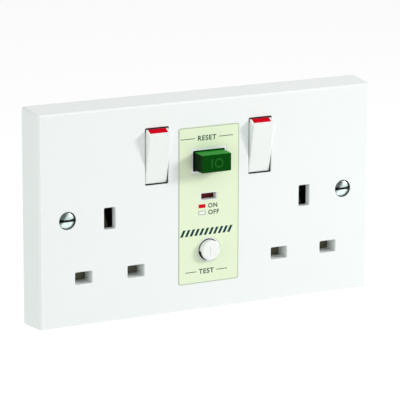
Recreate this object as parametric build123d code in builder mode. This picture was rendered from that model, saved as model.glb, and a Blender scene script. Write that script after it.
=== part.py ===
from build123d import *
import os
from math import atan2, cos, pi, radians, sin, sqrt, tan

# Twin switched socket with a residual current device, flush mounting, 13 A flat-pin pattern.
# X runs to the right along the plate, Z up, and the wall is the plane Y = 0.
# The front faces -Y. A "height" is a distance in front of the wall, so a negative
# height lies behind it, inside the wall box.

# Driving dimensions, in millimetres and degrees

# Front plate
plate_width = 146.0
plate_height = 86.0
plate_depth = 13.3
plate_draft = 5.0
plate_edge_radius = 0.7
plate_corner_radius = 1.2
plate_skin = 2.6
plate_wall = 2.4
mouth_radius = 0.27

# Fixing to the wall box
fixing_centres = 120.6
fixing_screw_diameter = 3.5
fixing_shank_diameter = 3.1
fixing_screw_head_diameter = 6.5
fixing_screw_length = 25.0
fixing_hole_play = 0.2
fixing_recess_play = 0.3
fixing_recess_depth = 1.5
fixing_boss_wall = 0.75
fixing_head_margin = 0.15
screw_slot_width = 0.9
screw_slot_depth = 0.9
box_lug_reach = 7.3

# Plug outlets
outlet_offset = 42.6
pin_spacing = 22.23
earth_height = -0.95
earth_pin_width = 4.0
earth_pin_height = 8.0
line_pin_width = 6.3
line_pin_height = 4.0
earth_side_play = 0.4
earth_end_play = 0.25
line_side_play = 0.45
line_end_play = 0.425
mouth_corner_radius = 0.5
mouth_rim = 1.2
line_mouth_depth = 6.8
earth_mouth_depth = 3.0

# Rocker switches
rocker_offset = 22.5
rocker_centre_z = 21.45
rocker_width = 9.5
rocker_half_length = 10.47
rocker_face_height = 3.3
rocker_shoulder_inset = 0.7
rocker_shoulder_drop = 3.8
rocker_body_depth = 4.0
rocker_wall = 1.4
rocker_tilt = 11.8
rocker_edge_radius = 0.5
rocker_pivot_depth = 2.1
rocker_side_gap = 0.275
rocker_end_gap = 0.3
trunnion_radius = 1.0
trunnion_length = 1.6
trunnion_post_half = 1.5
trunnion_post_gap = 0.45
rocker_stem_diameter = 5.0
rocker_stem_reach = 12.0
stem_bore_end = -1.0
stem_window_play = 0.9
stem_window_end_play = 1.25
plunger_diameter = 3.0
plunger_length = 8.0
plunger_reach = 15.6
red_inlay_width = 7.7
red_inlay_depth = 0.6
red_inlay_border = 1.25
red_inlay_length = 2.55

# See-saw contacts under the rockers
seesaw_tilt = 12.0
seesaw_arm = 8.4
seesaw_width = 4.0
seesaw_thickness = 0.8
seesaw_pin_radius = 0.6
seesaw_pin_reach = 1.2
seesaw_pin_lift = 0.2
contact_button_radius = 1.5
contact_button_height = 0.8

# Middle label and its controls
label_width = 26.4
label_height = 62.6
label_corner_radius = 1.0
label_thickness = 0.35
label_recess = 0.25

reset_centre_z = 17.8
reset_width = 13.2
reset_height = 7.5
reset_projection = 6.6
reset_draft = 1.5
reset_side_gap = 0.35
reset_end_gap = 0.4
reset_surround_side = 0.75
reset_surround_end = 1.05
reset_stem_diameter = 4.0
reset_stem_back = 5.0
collar_thickness = 1.3
collar_reach = 1.0

window_centre_z = 3.35
window_width = 6.7
window_height = 2.6
window_frame = 0.35

test_centre_z = -18.1
test_diameter = 8.0
test_side_gap = 0.4
test_surround = 0.55
test_projection = 2.3
test_travel = 1.6
test_stem_diameter = 3.0
test_strip_width = 4.0
test_post_inset = 2.6
test_post_radius = 0.55

# Inner deck, a flat moulding between the plate and the rear housing
deck_thickness = 1.6
deck_clearance = 0.5
pin_window_play = 0.6
ear_thickness = 1.0
ear_half = 1.8

# Rear housing
housing_wall = 1.8
housing_floor = 20.0
housing_half_height = 34.5
housing_wide_top = -11.0
housing_screw_radius = 1.45
housing_screw_play = 0.2
housing_screw_head_radius = 2.8
housing_screw_head_height = 2.0
housing_column_radius = 3.0
housing_screw_engagement = 8.1
lower_screw_inset = 5.6
upper_screw_inset = -1.7
lower_screw_drop = 11.05
upper_screw_rise = 12.95

# Shutters
shutter_thickness = 1.6
shutter_gap = 0.3
shutter_spare_travel = 0.2
shutter_width = 30.4
shutter_overlap = 0.65
shutter_ramp_length = 8.75
shutter_rail_height = 1.2
shutter_rail_half = 0.7
shutter_rail_inset = 2.5
shutter_spring_radius = 1.4
spring_wall_thickness = 1.2
spring_wall_half = 3.0

# Brass and copper parts
strip_thickness = 0.8
strip_width = 2.6
strap_thickness = 1.0
strap_width = 5.0
strap_branch_width = 4.0
bar_thickness = 1.2
bar_width = 2.8
clip_leaf_thickness = 0.7
clip_squeeze = 0.2
clip_flare = 0.65
clip_throat = 2.2
clip_shoulder = 5.0
clip_belly = 1.3
clip_depth = 10.0
clip_lip_drop = 1.0
earth_clip_belly = 1.0
earth_clip_drop = 1.4
clip_tab_half = 2.0
clip_side_gap = 1.0
line_terminal_x = 38.0
earth_terminal_x = 21.5
terminal_near_z = 19.5
terminal_width = 8.0
terminal_length = 9.0
terminal_depth = 9.5
terminal_bore_radius = 2.6
terminal_bore_depth = 7.5
terminal_bore_rise = 6.0
terminal_screw_radius = 1.75
terminal_head_radius = 3.0
terminal_head_height = 1.9
switched_strip_width = 3.8
switched_column_width = 3.0
switched_column_gap = 0.5

# Wires
wire_diameter = 2.6

# Trip mechanism, its heights taken from the back of the deck
carrier_travel = 3.0
carrier_half_width = 14.0
carrier_bottom = -8.0
carrier_top = 6.0
carrier_drop = 5.0
carrier_thickness = 4.8
carrier_web = 1.8
bridge_offset = 9.5
bridge_width = 4.0
bridge_half_length = 6.6
bridge_centre_z = -1.2
bridge_pad_shift = 0.4
bridge_post_radius = 0.6
bridge_pocket_radius = 1.8
guide_offset = 5.0
guide_z = -4.6
guide_radius = 1.0
guide_pocket_radius = 2.3
guide_seat = 1.2
guide_tail = 1.5
flag_thickness = 1.2
flag_margin = 0.6
flag_side = 1.25
flag_red_inset = 0.8
flag_red_thickness = 0.4
flag_tail_half = 0.8
flag_tail_rim = 1.4
flag_tail_shoulder = 2.4
steer_z = 3.0
steer_drop = 3.8
steer_radius = 0.6
latch_centre_x = 8.0
latch_width = 3.0
latch_half = 1.3
latch_pivot_z = 9.0
latch_pivot_drop = 3.3
latch_running_gap = 0.45
pin_radius = 0.8
reset_lever_pivot_z = 11.6
reset_lever_arm = 6.2
reset_lever_angle = 0.5
reset_lever_tip_radius = 1.2
reset_lever_half = 0.8
reset_lever_drop = 4.9
reset_lever_back = 5.0
reset_lever_xs = (-7.0, 1.5)
solenoid_length = 14.6
solenoid_plunger_radius = 1.3
solenoid_travel = 3.5
solenoid_spare = 1.0
solenoid_head_thickness = 1.3
solenoid_head_rim = 1.0
solenoid_head_gap = 0.5
yoke_thickness = 1.2
yoke_half_width = 4.8
flange_radius = 4.4
flange_thickness = 0.8
bobbin_tube_wall = 0.8

# Core, board and its components
core_centre_z = -20.0
core_outer_radius = 8.3
core_inner_radius = 4.2
core_length = 7.0
core_wound_half = 3.5
winding_thickness = 0.6
board_half_width = 13.6
board_top = 8.0
board_edge_gap = 1.2
board_standoff = 2.0
board_thickness = 1.2
chip_size = (8.5, 6.2, 1.5)
chip_place = (-3.75, 6.2)
thyristor_size = (4.8, 3.8, 3.4)
thyristor_place = (8.0, 5.2)
varistor_size = (3.2, 2.2)
varistor_place = (6.2, 4.4)
capacitor_size = (2.5, 5.4)
capacitor_place = (-9.5, 4.3)
resistor_radius = 0.9
resistor_xs = (-12.2, -6.2)
resistor_rise = 1.8
resistor_pitch = 2.4
resistor_inset = 2.2

# Clearances
fit = 0.08
gap = 0.3
contact_gap = 0.1

# Sizes worked out from the ones above
skin_back = plate_depth - plate_skin
draft_slope = tan(radians(plate_draft))
fixing_hole_radius = fixing_screw_diameter / 2 + fixing_hole_play
fixing_recess_radius = fixing_screw_head_diameter / 2 + fixing_recess_play
fixing_boss_radius = fixing_recess_radius + fixing_boss_wall
fixing_x = fixing_centres / 2

line_z = earth_height - pin_spacing
half_pitch = pin_spacing / 2
earth_mouth_width = earth_pin_width + 2 * earth_side_play
earth_mouth_height = earth_pin_height + 2 * earth_end_play
line_mouth_width = line_pin_width + 2 * line_side_play
line_mouth_height = line_pin_height + 2 * line_end_play
line_skirt_end = plate_depth - line_mouth_depth
earth_skirt_end = plate_depth - earth_mouth_depth

rocker_pivot_height = plate_depth - rocker_pivot_depth
rocker_end_radius = sqrt(rocker_half_length**2 + rocker_face_height**2)
rocker_mouth_width = rocker_width + 2 * rocker_side_gap
rocker_mouth_height = 2 * (rocker_end_radius + rocker_end_gap)

reset_mouth_width = reset_width + 2 * reset_side_gap
reset_mouth_height = reset_height + 2 * reset_end_gap
reset_surround_width = reset_mouth_width + 2 * reset_surround_side
reset_surround_height = reset_mouth_height + 2 * reset_surround_end
test_mouth_radius = test_diameter / 2 + test_side_gap
test_surround_radius = test_mouth_radius + test_surround

blade_front = line_skirt_end - shutter_gap
blade_back = blade_front - shutter_thickness
shutter_travel = line_mouth_height + shutter_overlap + shutter_spare_travel
deck_front = blade_back - shutter_rail_height
deck_back = deck_front - deck_thickness

housing_half_width = fixing_x - box_lug_reach
housing_back = -housing_floor - housing_wall
clip_half_width = line_pin_width / 2 + gap
housing_wide_half_width = outlet_offset + half_pitch + clip_half_width + clip_side_gap + housing_wall
inner_half_height = housing_half_height - housing_wall
inner_half_width = housing_half_width - housing_wall
inner_wide_half_width = housing_wide_half_width - housing_wall
housing_screws = [
    (sign * (outlet_offset - inset), earth_height + rise)
    for inset, rise in ((lower_screw_inset, -lower_screw_drop), (upper_screw_inset, upper_screw_rise))
    for sign in (-1, 1)
]
terminal_bore_height = terminal_bore_rise - housing_floor

carrier_front = deck_back - carrier_drop
carrier_back = carrier_front - carrier_thickness
steer_height = deck_back - steer_drop
flag_travel = window_height + 2 * flag_margin
latch_pivot_height = deck_back - latch_pivot_drop
reset_stem_end = deck_back - reset_stem_back
solenoid_height = -housing_floor + yoke_thickness + flange_radius + gap
solenoid_bottom_z = latch_pivot_z + latch_half + solenoid_travel + solenoid_spare

board_bottom = board_edge_gap - inner_half_height
board_front = -housing_floor + board_standoff + board_thickness
core_centre_height = board_front + gap + core_outer_radius
test_post_x = board_half_width - test_post_inset
sides = (("left", -1), ("right", 1))

os.makedirs("parts", exist_ok=True)


def level(height):
    """The plane parallel to the wall at a height in front of it; its x is X and its y is Z."""
    return Plane.XZ.offset(height)


def slab(xs, zs, heights, mode=Mode.ADD):
    """A block between two X, two Z and two heights, added to the part being built."""
    with BuildSketch(level(heights[0])) as outline:
        with Locations(((xs[0] + xs[1]) / 2, (zs[0] + zs[1]) / 2)):
            Rectangle(abs(xs[1] - xs[0]), abs(zs[1] - zs[0]))
    extrude(outline.sketch, amount=heights[1] - heights[0], mode=mode)


def peg(x, z, radius, heights, mode=Mode.ADD):
    """A round bar square to the wall, between two heights."""
    with BuildSketch(level(heights[0])) as outline:
        with Locations((x, z)):
            Circle(radius)
    extrude(outline.sketch, amount=heights[1] - heights[0], mode=mode)


def axle(xs, z, height, radius, mode=Mode.ADD):
    """A round bar along X."""
    with BuildSketch(Plane.YZ.offset(min(xs))) as outline:
        with Locations((-height, z)):
            Circle(radius)
    extrude(outline.sketch, amount=abs(xs[1] - xs[0]), mode=mode)


def upright(x, height, radius, zs, mode=Mode.ADD):
    """A round bar along Z."""
    with BuildSketch(Plane.XY.offset(zs[0])) as outline:
        with Locations((x, -height)):
            Circle(radius)
    extrude(outline.sketch, amount=zs[1] - zs[0], mode=mode)


def side_shape(points, xs, mode=Mode.ADD):
    """A closed outline of (z, height) points, carried from one X to another."""
    with BuildSketch(Plane.YZ.offset(min(xs))) as outline:
        with BuildLine():
            Polyline(*[(-height, z) for z, height in points], close=True)
        make_face()
    extrude(outline.sketch, amount=abs(xs[1] - xs[0]), mode=mode)


def side_strip(points, thickness, xs, mode=Mode.ADD):
    """A strip of one thickness bent through (z, height) points, carried along X."""
    with BuildSketch(Plane.YZ.offset(min(xs))) as outline:
        with BuildLine():
            Polyline(*[(-height, z) for z, height in points])
            offset(amount=thickness / 2, side=Side.BOTH, kind=Kind.INTERSECTION)
        make_face()
    extrude(outline.sketch, amount=abs(xs[1] - xs[0]), mode=mode)


def top_strip(points, thickness, zs, mode=Mode.ADD):
    """A strip of one thickness bent through (x, height) points, carried along Z."""
    with BuildSketch(Plane.XY.offset(zs[0])) as outline:
        with BuildLine():
            Polyline(*[(x, -height) for x, height in points])
            offset(amount=thickness / 2, side=Side.BOTH, kind=Kind.INTERSECTION)
        make_face()
    extrude(outline.sketch, amount=zs[1] - zs[0], mode=mode)


def flat_strip(points, width, heights, mode=Mode.ADD):
    """A flat strip of one width through (x, z) points, between two heights."""
    with BuildSketch(level(heights[0])) as outline:
        with BuildLine():
            Polyline(*points)
            offset(amount=width / 2, side=Side.BOTH, kind=Kind.INTERSECTION)
        make_face()
    extrude(outline.sketch, amount=heights[1] - heights[0], mode=mode)


def coil(base, length, radius, wire_radius, turns):
    """A helical spring along the z direction of its base plane."""
    with BuildLine() as path:
        Helix(length / turns, length, radius, center=tuple(base.origin), direction=tuple(base.z_dir))
    start = Plane(path.line @ 0, z_dir=path.line % 0)
    with BuildSketch(start) as section:
        Circle(wire_radius)
    sweep(section.sketch, path=path.line, is_frenet=True)


def rocker_plane(sign):
    """Side view plane of one rocker: local x is Z and local y is forward, about its pivot."""
    pivot = (sign * rocker_offset, -rocker_pivot_height, rocker_centre_z)
    tilt = radians(rocker_tilt)
    return Plane(pivot, x_dir=(0, -sin(tilt), cos(tilt)), z_dir=(1, 0, 0))


# Places of the mouths in the plate, each with its own width and height

earth_mouths = [(s * outlet_offset, earth_height) for side, s in sides]
line_mouths = [(s * outlet_offset + t * half_pitch, line_z) for _, s in sides for t in (-1, 1)]

# Front plate: a drafted shell with every mouth, recess and boss

with BuildPart() as front_plate:
    with BuildSketch(level(0)):
        RectangleRounded(plate_width, plate_height, plate_corner_radius)
    extrude(amount=plate_depth, taper=plate_draft)
    fillet(front_plate.edges().group_by(Axis.Y)[0], plate_edge_radius)
    with BuildSketch(level(0)):
        RectangleRounded(plate_width - 2 * plate_wall, plate_height - 2 * plate_wall, plate_corner_radius)
    extrude(amount=skin_back, taper=plate_draft, mode=Mode.SUBTRACT)
    # skirts round the plug mouths, and the bosses
    for x, z in line_mouths:
        with BuildSketch(level(line_skirt_end)):
            with Locations((x, z)):
                Rectangle(line_mouth_width + 2 * mouth_rim, line_mouth_height + 2 * mouth_rim)
        extrude(amount=skin_back - line_skirt_end)
    for x, z in earth_mouths:
        with BuildSketch(level(earth_skirt_end)):
            with Locations((x, z)):
                Rectangle(earth_mouth_width + 2 * mouth_rim, earth_mouth_height + 2 * mouth_rim)
        extrude(amount=skin_back - earth_skirt_end)
    for sign in (-1, 1):
        peg(sign * fixing_x, 0, fixing_boss_radius, (0, skin_back))
    for x, z in housing_screws:
        peg(x, z, housing_column_radius, (deck_front, skin_back))
    # mouths
    with BuildSketch(level(deck_front)):
        with Locations(*line_mouths):
            RectangleRounded(line_mouth_width, line_mouth_height, mouth_corner_radius)
        with Locations(*earth_mouths):
            RectangleRounded(earth_mouth_width, earth_mouth_height, mouth_corner_radius)
        with Locations((-rocker_offset, rocker_centre_z), (rocker_offset, rocker_centre_z)):
            RectangleRounded(rocker_mouth_width, rocker_mouth_height, mouth_corner_radius)
        with Locations((0, reset_centre_z)):
            RectangleRounded(reset_mouth_width, reset_mouth_height, mouth_corner_radius)
        with Locations((0, window_centre_z)):
            RectangleRounded(window_width, window_height, mouth_corner_radius / 2)
        with Locations((0, test_centre_z)):
            Circle(test_mouth_radius)
    extrude(amount=plate_depth - deck_front, mode=Mode.SUBTRACT)
    # soft edges on the mouths outside the label
    front_edges = front_plate.edges().group_by(Axis.Y)[0]
    inner_edges = front_edges.filter_by(
        lambda edge: abs(edge.center().X) < fixing_x
        and abs(edge.center().Z) < rocker_centre_z + rocker_mouth_height
        and abs(edge.center().X) > label_width / 2
    )
    fillet(inner_edges, mouth_radius)
    # screw recesses and holes
    for sign in (-1, 1):
        peg(sign * fixing_x, 0, fixing_hole_radius, (0, plate_depth), Mode.SUBTRACT)
        recess_floor = plate_depth - fixing_recess_depth
        cone_depth = fixing_recess_radius - fixing_hole_radius
        peg(sign * fixing_x, 0, fixing_recess_radius, (recess_floor, plate_depth), Mode.SUBTRACT)
        with BuildSketch(level(recess_floor)):
            with Locations((sign * fixing_x, 0)):
                Circle(fixing_recess_radius)
        extrude(amount=-cone_depth, taper=45, mode=Mode.SUBTRACT)
    for x, z in housing_screws:
        peg(x, z, housing_screw_radius, (deck_front, deck_back + housing_screw_engagement), Mode.SUBTRACT)
    # bearings for the rockers' trunnions, open at the back
    for sign in (-1, 1):
        x_mid = sign * rocker_offset
        half_span = rocker_width / 2 + trunnion_length + fit
        span = (x_mid - half_span, x_mid + half_span)
        z_span = (rocker_centre_z - trunnion_radius - fit, rocker_centre_z + trunnion_radius + fit)
        axle(span, rocker_centre_z, rocker_pivot_height, trunnion_radius + fit, Mode.SUBTRACT)
        slab(span, z_span, (skin_back, rocker_pivot_height), Mode.SUBTRACT)
    # shallow seat of the label, with the surrounds of reset, window and test left standing
    with BuildSketch(level(plate_depth - label_recess)):
        RectangleRounded(label_width + 2 * fit, label_height + 2 * fit, label_corner_radius)
        with Locations((0, reset_centre_z)):
            Rectangle(reset_surround_width, reset_surround_height, mode=Mode.SUBTRACT)
        with Locations((0, window_centre_z)):
            Rectangle(window_width + 2 * window_frame, window_height + 2 * window_frame, mode=Mode.SUBTRACT)
        with Locations((0, test_centre_z)):
            Circle(test_surround_radius, mode=Mode.SUBTRACT)
    extrude(amount=label_recess, mode=Mode.SUBTRACT)
front_plate.part.label = "front_plate"
export_step(front_plate.part, "parts/front_plate.step")

# Label panel: a thin printed plate round the middle controls
label_back = plate_depth - label_recess
with BuildPart() as label_panel:
    with BuildSketch(level(label_back)):
        RectangleRounded(label_width, label_height, label_corner_radius)
        with Locations((0, reset_centre_z)):
            Rectangle(reset_surround_width + fit, reset_surround_height + fit, mode=Mode.SUBTRACT)
        with Locations((0, window_centre_z)):
            Rectangle(window_width + 2 * window_frame + fit, window_height + 2 * window_frame + fit,
                      mode=Mode.SUBTRACT)
        with Locations((0, test_centre_z)):
            Circle(test_surround_radius + fit, mode=Mode.SUBTRACT)
    extrude(amount=label_thickness)
label_panel.part.label = "label_panel"
export_step(label_panel.part, "parts/label_panel.step")

# Screws that hold the plate to the wall box: slotted, raised countersunk heads
# and a thread that begins at the wall
head_rim = plate_depth - fixing_recess_depth / 2
head_top = plate_depth - fixing_head_margin + gap
head_radius = fixing_screw_head_diameter / 2
shank_radius = fixing_shank_diameter / 2
head_cone = head_radius - shank_radius
with BuildPart() as fixing_screws:
    for sign in (-1, 1):
        x = sign * fixing_x
        peg(x, 0, fixing_screw_diameter / 2, (head_rim - fixing_screw_length, 0))
        peg(x, 0, shank_radius, (0, head_rim))
        with BuildSketch(level(head_rim - head_cone)):
            with Locations((x, 0)):
                Circle(shank_radius)
        extrude(amount=head_cone, taper=-45)
        dome_height = head_top - head_rim
        dome_radius = (head_radius**2 + dome_height**2) / (2 * dome_height)
        with BuildSketch(Plane((x, -head_rim, 0))):
            with BuildLine():
                rim = (head_radius, 0)
                crown = (0, -dome_height)
                Line((0, 0), rim)
                RadiusArc(rim, crown, dome_radius)
                Line(crown, (0, 0))
            make_face()
        revolve(axis=Axis((x, 0, 0), (0, 1, 0)))
        slab((x - head_radius, x + head_radius), (-screw_slot_width / 2, screw_slot_width / 2),
             (head_top - screw_slot_depth, head_top), Mode.SUBTRACT)
fixing_screws.part.label = "fixing_screws"
export_step(fixing_screws.part, "parts/fixing_screws.step")

# Reset button: a drafted block on a stem, with a collar that stops it under the plate
collar_front = skin_back - gap
collar_back = collar_front - collar_thickness
reset_front = plate_depth + reset_projection
with BuildPart() as reset_button:
    with BuildSketch(level(collar_front)):
        with Locations((0, reset_centre_z)):
            RectangleRounded(reset_width, reset_height, mouth_corner_radius)
    extrude(amount=reset_front - collar_front, taper=reset_draft)
    fillet(reset_button.edges().group_by(Axis.Y)[0], mouth_radius)
    half_collar_x = reset_mouth_width / 2 + collar_reach
    half_collar_z = reset_mouth_height / 2 + collar_reach
    slab((-half_collar_x, half_collar_x), (reset_centre_z - half_collar_z, reset_centre_z + half_collar_z),
         (collar_back, collar_front))
    peg(0, reset_centre_z, reset_stem_diameter / 2, (reset_stem_end, collar_back))
reset_button.part.label = "reset_button"
export_step(reset_button.part, "parts/reset_button.step")

# Reset spring: round the stem, between the collar and the deck
reset_spring_wire = 0.3
reset_spring_turns = 4
reset_spring_radius = reset_stem_diameter / 2 + 3 * reset_spring_wire
with BuildPart() as reset_spring:
    spring_base = deck_front + reset_spring_wire
    coil(Plane((0, -spring_base, reset_centre_z), z_dir=(0, -1, 0)),
         collar_back - reset_spring_wire - spring_base, reset_spring_radius, reset_spring_wire,
         reset_spring_turns)
reset_spring.part.label = "reset_spring"
export_step(reset_spring.part, "parts/reset_spring.step")

# Test button: a round button with a collar and a stem that ends close to the contact leaf
leaf_thickness = strip_thickness / 2
leaf_front = deck_front + 2 * leaf_thickness + test_travel - contact_gap
test_front = plate_depth + test_projection
with BuildPart() as test_button:
    peg(0, test_centre_z, test_diameter / 2, (collar_front, test_front))
    fillet(test_button.edges().group_by(Axis.Y)[0], 2 * mouth_radius)
    peg(0, test_centre_z, test_mouth_radius + collar_reach, (collar_back, collar_front))
    peg(0, test_centre_z, test_stem_diameter / 2, (leaf_front + contact_gap, collar_back))
test_button.part.label = "test_button"
export_step(test_button.part, "parts/test_button.step")

# Test contacts: a leaf under the button's stem, and the fixed pad that it is pressed onto
leaf_middle = leaf_front - leaf_thickness / 2
leaf_foot_length = 2.5
leaf_foot_x = test_post_x - leaf_foot_length
leaf_reach = 4.2
foot_margin = 1.5
test_strip_zs = (test_centre_z - test_strip_width / 2, test_centre_z + test_strip_width / 2)
with BuildPart() as test_leaf:
    slab((-test_post_x - foot_margin, -leaf_foot_x), test_strip_zs,
         (deck_front, deck_front + leaf_thickness))
    top_strip([(-leaf_foot_x, deck_front + leaf_thickness / 2), (-leaf_reach, leaf_middle),
               (leaf_reach, leaf_middle)], leaf_thickness, test_strip_zs)
    peg(-test_post_x, test_centre_z, test_post_radius, (board_front, deck_front))
test_leaf.part.label = "test_leaf"
export_step(test_leaf.part, "parts/test_leaf.step")

with BuildPart() as test_contact:
    slab((leaf_reach / 2, test_post_x + foot_margin), test_strip_zs,
         (deck_front, deck_front + leaf_thickness))
    peg(test_post_x, test_centre_z, test_post_radius, (board_front, deck_front))
test_contact.part.label = "test_contact"
export_step(test_contact.part, "parts/test_contact.step")

# Flag: a small slide behind the window, red half below and white half above,
# with a tail that a pin on the contact carrier steers through a slanted slot
flag_front = skin_back - gap
flag_back = flag_front - flag_thickness
flag_bottom = window_centre_z - window_height / 2 - flag_margin
flag_middle = flag_bottom + flag_travel
flag_top = flag_middle + flag_travel
flag_half = window_width / 2 + flag_side
flag_tail = (-flag_tail_half, flag_tail_half)
flag_red_xs = (flag_red_inset - flag_half, flag_half - flag_red_inset)
flag_red_heights = (flag_front - flag_red_thickness, flag_front)
steer_low = (steer_z, steer_height)
steer_high = (steer_z + flag_travel, steer_height - carrier_travel)
tail_bottom = steer_z - flag_tail_rim
tail_top = steer_high[0] + flag_tail_rim
tail_end = steer_high[1] - flag_tail_rim
slot_radius = steer_radius + fit
slot_angle = atan2(flag_travel, carrier_travel)
across_z = slot_radius * cos(slot_angle)
across_h = slot_radius * sin(slot_angle)
with BuildPart() as flag_indicator:
    slab((-flag_half, flag_half), (flag_bottom, flag_top), (flag_back, flag_front))
    slab(flag_red_xs, (flag_bottom, flag_middle), flag_red_heights, Mode.SUBTRACT)
    side_shape([(tail_bottom, flag_back), (steer_z + flag_tail_shoulder, flag_back),
                (tail_top, steer_height + flag_tail_rim), (tail_top, tail_end),
                (steer_high[0] - flag_tail_rim, tail_end), (tail_bottom, steer_height - flag_tail_rim)],
               flag_tail)
    axle(flag_tail, *steer_low, slot_radius, Mode.SUBTRACT)
    axle(flag_tail, *steer_high, slot_radius, Mode.SUBTRACT)
    side_shape([(steer_low[0] - across_z, steer_low[1] - across_h),
                (steer_low[0] + across_z, steer_low[1] + across_h),
                (steer_high[0] + across_z, steer_high[1] + across_h),
                (steer_high[0] - across_z, steer_high[1] - across_h)], flag_tail, Mode.SUBTRACT)
flag_indicator.part.label = "flag_indicator"
export_step(flag_indicator.part, "parts/flag_indicator.step")

with BuildPart() as flag_red_face:
    slab(flag_red_xs, (flag_bottom, flag_middle), flag_red_heights)
flag_red_face.part.label = "flag_red_face"
export_step(flag_red_face.part, "parts/flag_red_face.step")

# Rockers, their red ends, plungers and springs, each shown switched on:
# the lower end pressed in and the upper end standing out, with the red inlay on its sloping shoulder
back_half = sqrt(rocker_end_radius**2 - rocker_body_depth**2)
hollow_half = back_half - 2 * rocker_wall
plunger_top = plunger_length - plunger_reach
plunger_wire = 0.2
plunger_turns = 6
shoulder_height = rocker_face_height - rocker_shoulder_drop
shoulder_start = Vector(rocker_half_length - rocker_shoulder_inset, rocker_face_height)
shoulder_end = Vector(sqrt(rocker_end_radius**2 - shoulder_height**2), shoulder_height)
down_shoulder = (shoulder_end - shoulder_start).normalized()
into_shoulder = Vector(down_shoulder.Y, -down_shoulder.X)
end_middle = (shoulder_height - rocker_body_depth) / 2
inlay_start = shoulder_start + down_shoulder * red_inlay_border
inlay_end = inlay_start + down_shoulder * red_inlay_length
inlay_corners = [inlay_start, inlay_end, inlay_end + into_shoulder * red_inlay_depth,
                 inlay_start + into_shoulder * red_inlay_depth]
for side, sign in sides:
    view = rocker_plane(sign)
    x_mid = sign * rocker_offset
    cut_plane = view.offset(-rocker_width / 2)
    with BuildPart() as rocker:
        with BuildSketch(cut_plane):
            with BuildLine():
                front_low = (-rocker_half_length, rocker_face_height)
                back_high = (back_half, -rocker_body_depth)
                back_low = (-back_half, -rocker_body_depth)
                Polyline(front_low, shoulder_start, shoulder_end)
                ThreePointArc(shoulder_end, (sqrt(rocker_end_radius**2 - end_middle**2), end_middle),
                              back_high)
                Line(back_high, back_low)
                ThreePointArc(back_low, (-rocker_end_radius, 0), front_low)
            make_face()
        extrude(amount=rocker_width)
        face_edges = rocker.faces().sort_by(Axis((0, 0, 0), view.y_dir))[-1]
        fillet(face_edges.edges(), rocker_edge_radius)
        with BuildSketch(view.offset(-rocker_width / 2 + rocker_wall)):
            with Locations((0, -rocker_body_depth)):
                Rectangle(2 * hollow_half, 2 * rocker_body_depth)
        extrude(amount=rocker_width - 2 * rocker_wall, mode=Mode.SUBTRACT)
        for face in (-1, 1):
            with BuildSketch(view.offset(face * rocker_width / 2)):
                Circle(trunnion_radius)
            extrude(amount=face * trunnion_length)
        pivot = Plane(view.origin, z_dir=-view.y_dir)
        with BuildSketch(pivot):
            Circle(rocker_stem_diameter / 2)
        extrude(amount=rocker_stem_reach)
        with BuildSketch(pivot.offset(-stem_bore_end)):
            Circle(plunger_diameter / 2 + fit)
        extrude(amount=rocker_stem_reach, mode=Mode.SUBTRACT)
        with BuildSketch(view.offset(-red_inlay_width / 2)):
            with BuildLine():
                Polyline(*inlay_corners, close=True)
            make_face()
        extrude(amount=red_inlay_width, mode=Mode.SUBTRACT)
    rocker.part.label = f"{side}_rocker"
    export_step(rocker.part, f"parts/{side}_rocker.step")

    with BuildPart() as red_inlay:
        with BuildSketch(view.offset(-red_inlay_width / 2)):
            with BuildLine():
                Polyline(*inlay_corners, close=True)
            make_face()
        extrude(amount=red_inlay_width)
    red_inlay.part.label = f"{side}_rocker_red_inlay"
    export_step(red_inlay.part, f"parts/{side}_rocker_red_inlay.step")

    with BuildPart() as plunger:
        with BuildSketch(pivot.offset(-plunger_top)):
            Circle(plunger_diameter / 2)
        extrude(amount=plunger_length)
        tip = plunger.faces().sort_by(Axis((0, 0, 0), pivot.z_dir))[-1]
        fillet(tip.edges(), plunger_diameter / 2 - gap)
    plunger.part.label = f"{side}_rocker_plunger"
    export_step(plunger.part, f"parts/{side}_rocker_plunger.step")

    with BuildPart() as plunger_spring:
        coil(pivot.offset(-stem_bore_end + plunger_wire), -plunger_top + stem_bore_end - 2 * plunger_wire,
             plunger_diameter / 2 - 2 * plunger_wire, plunger_wire, plunger_turns)
    plunger_spring.part.label = f"{side}_plunger_spring"
    export_step(plunger_spring.part, f"parts/{side}_plunger_spring.step")

# Inner deck: holds the shutters and trunnions in, and carries the busbars and pivots behind it
deck_half_x = plate_width / 2 - plate_wall - deck_front * draft_slope - deck_clearance
deck_half_z = plate_height / 2 - plate_wall - deck_front * draft_slope - deck_clearance
blade_top = line_z + line_mouth_height / 2 + shutter_overlap
blade_bottom = line_z - line_mouth_height / 2 - shutter_overlap
ramp_half = earth_pin_width / 2
ramp_window_play = 0.8
stem_window = (rocker_stem_diameter / 2 + stem_window_play,
               rocker_stem_diameter / 2 + rocker_stem_reach * sin(radians(rocker_tilt))
               + stem_window_end_play)
ramp_top_z = earth_height - earth_pin_height / 2 + shutter_travel - contact_gap
ramp_bottom = ramp_top_z - shutter_ramp_length
spring_wall_z = spring_wall_thickness - deck_half_z
latch_ears = (latch_centre_x - latch_width / 2 - gap - ear_thickness,
              latch_centre_x + latch_width / 2 + gap)
reset_ears = (reset_lever_xs[0] - gap - ear_thickness, reset_lever_xs[1] + gap)
reset_pivot_height = reset_stem_end - gap - reset_lever_tip_radius - reset_lever_arm * sin(reset_lever_angle)
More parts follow.
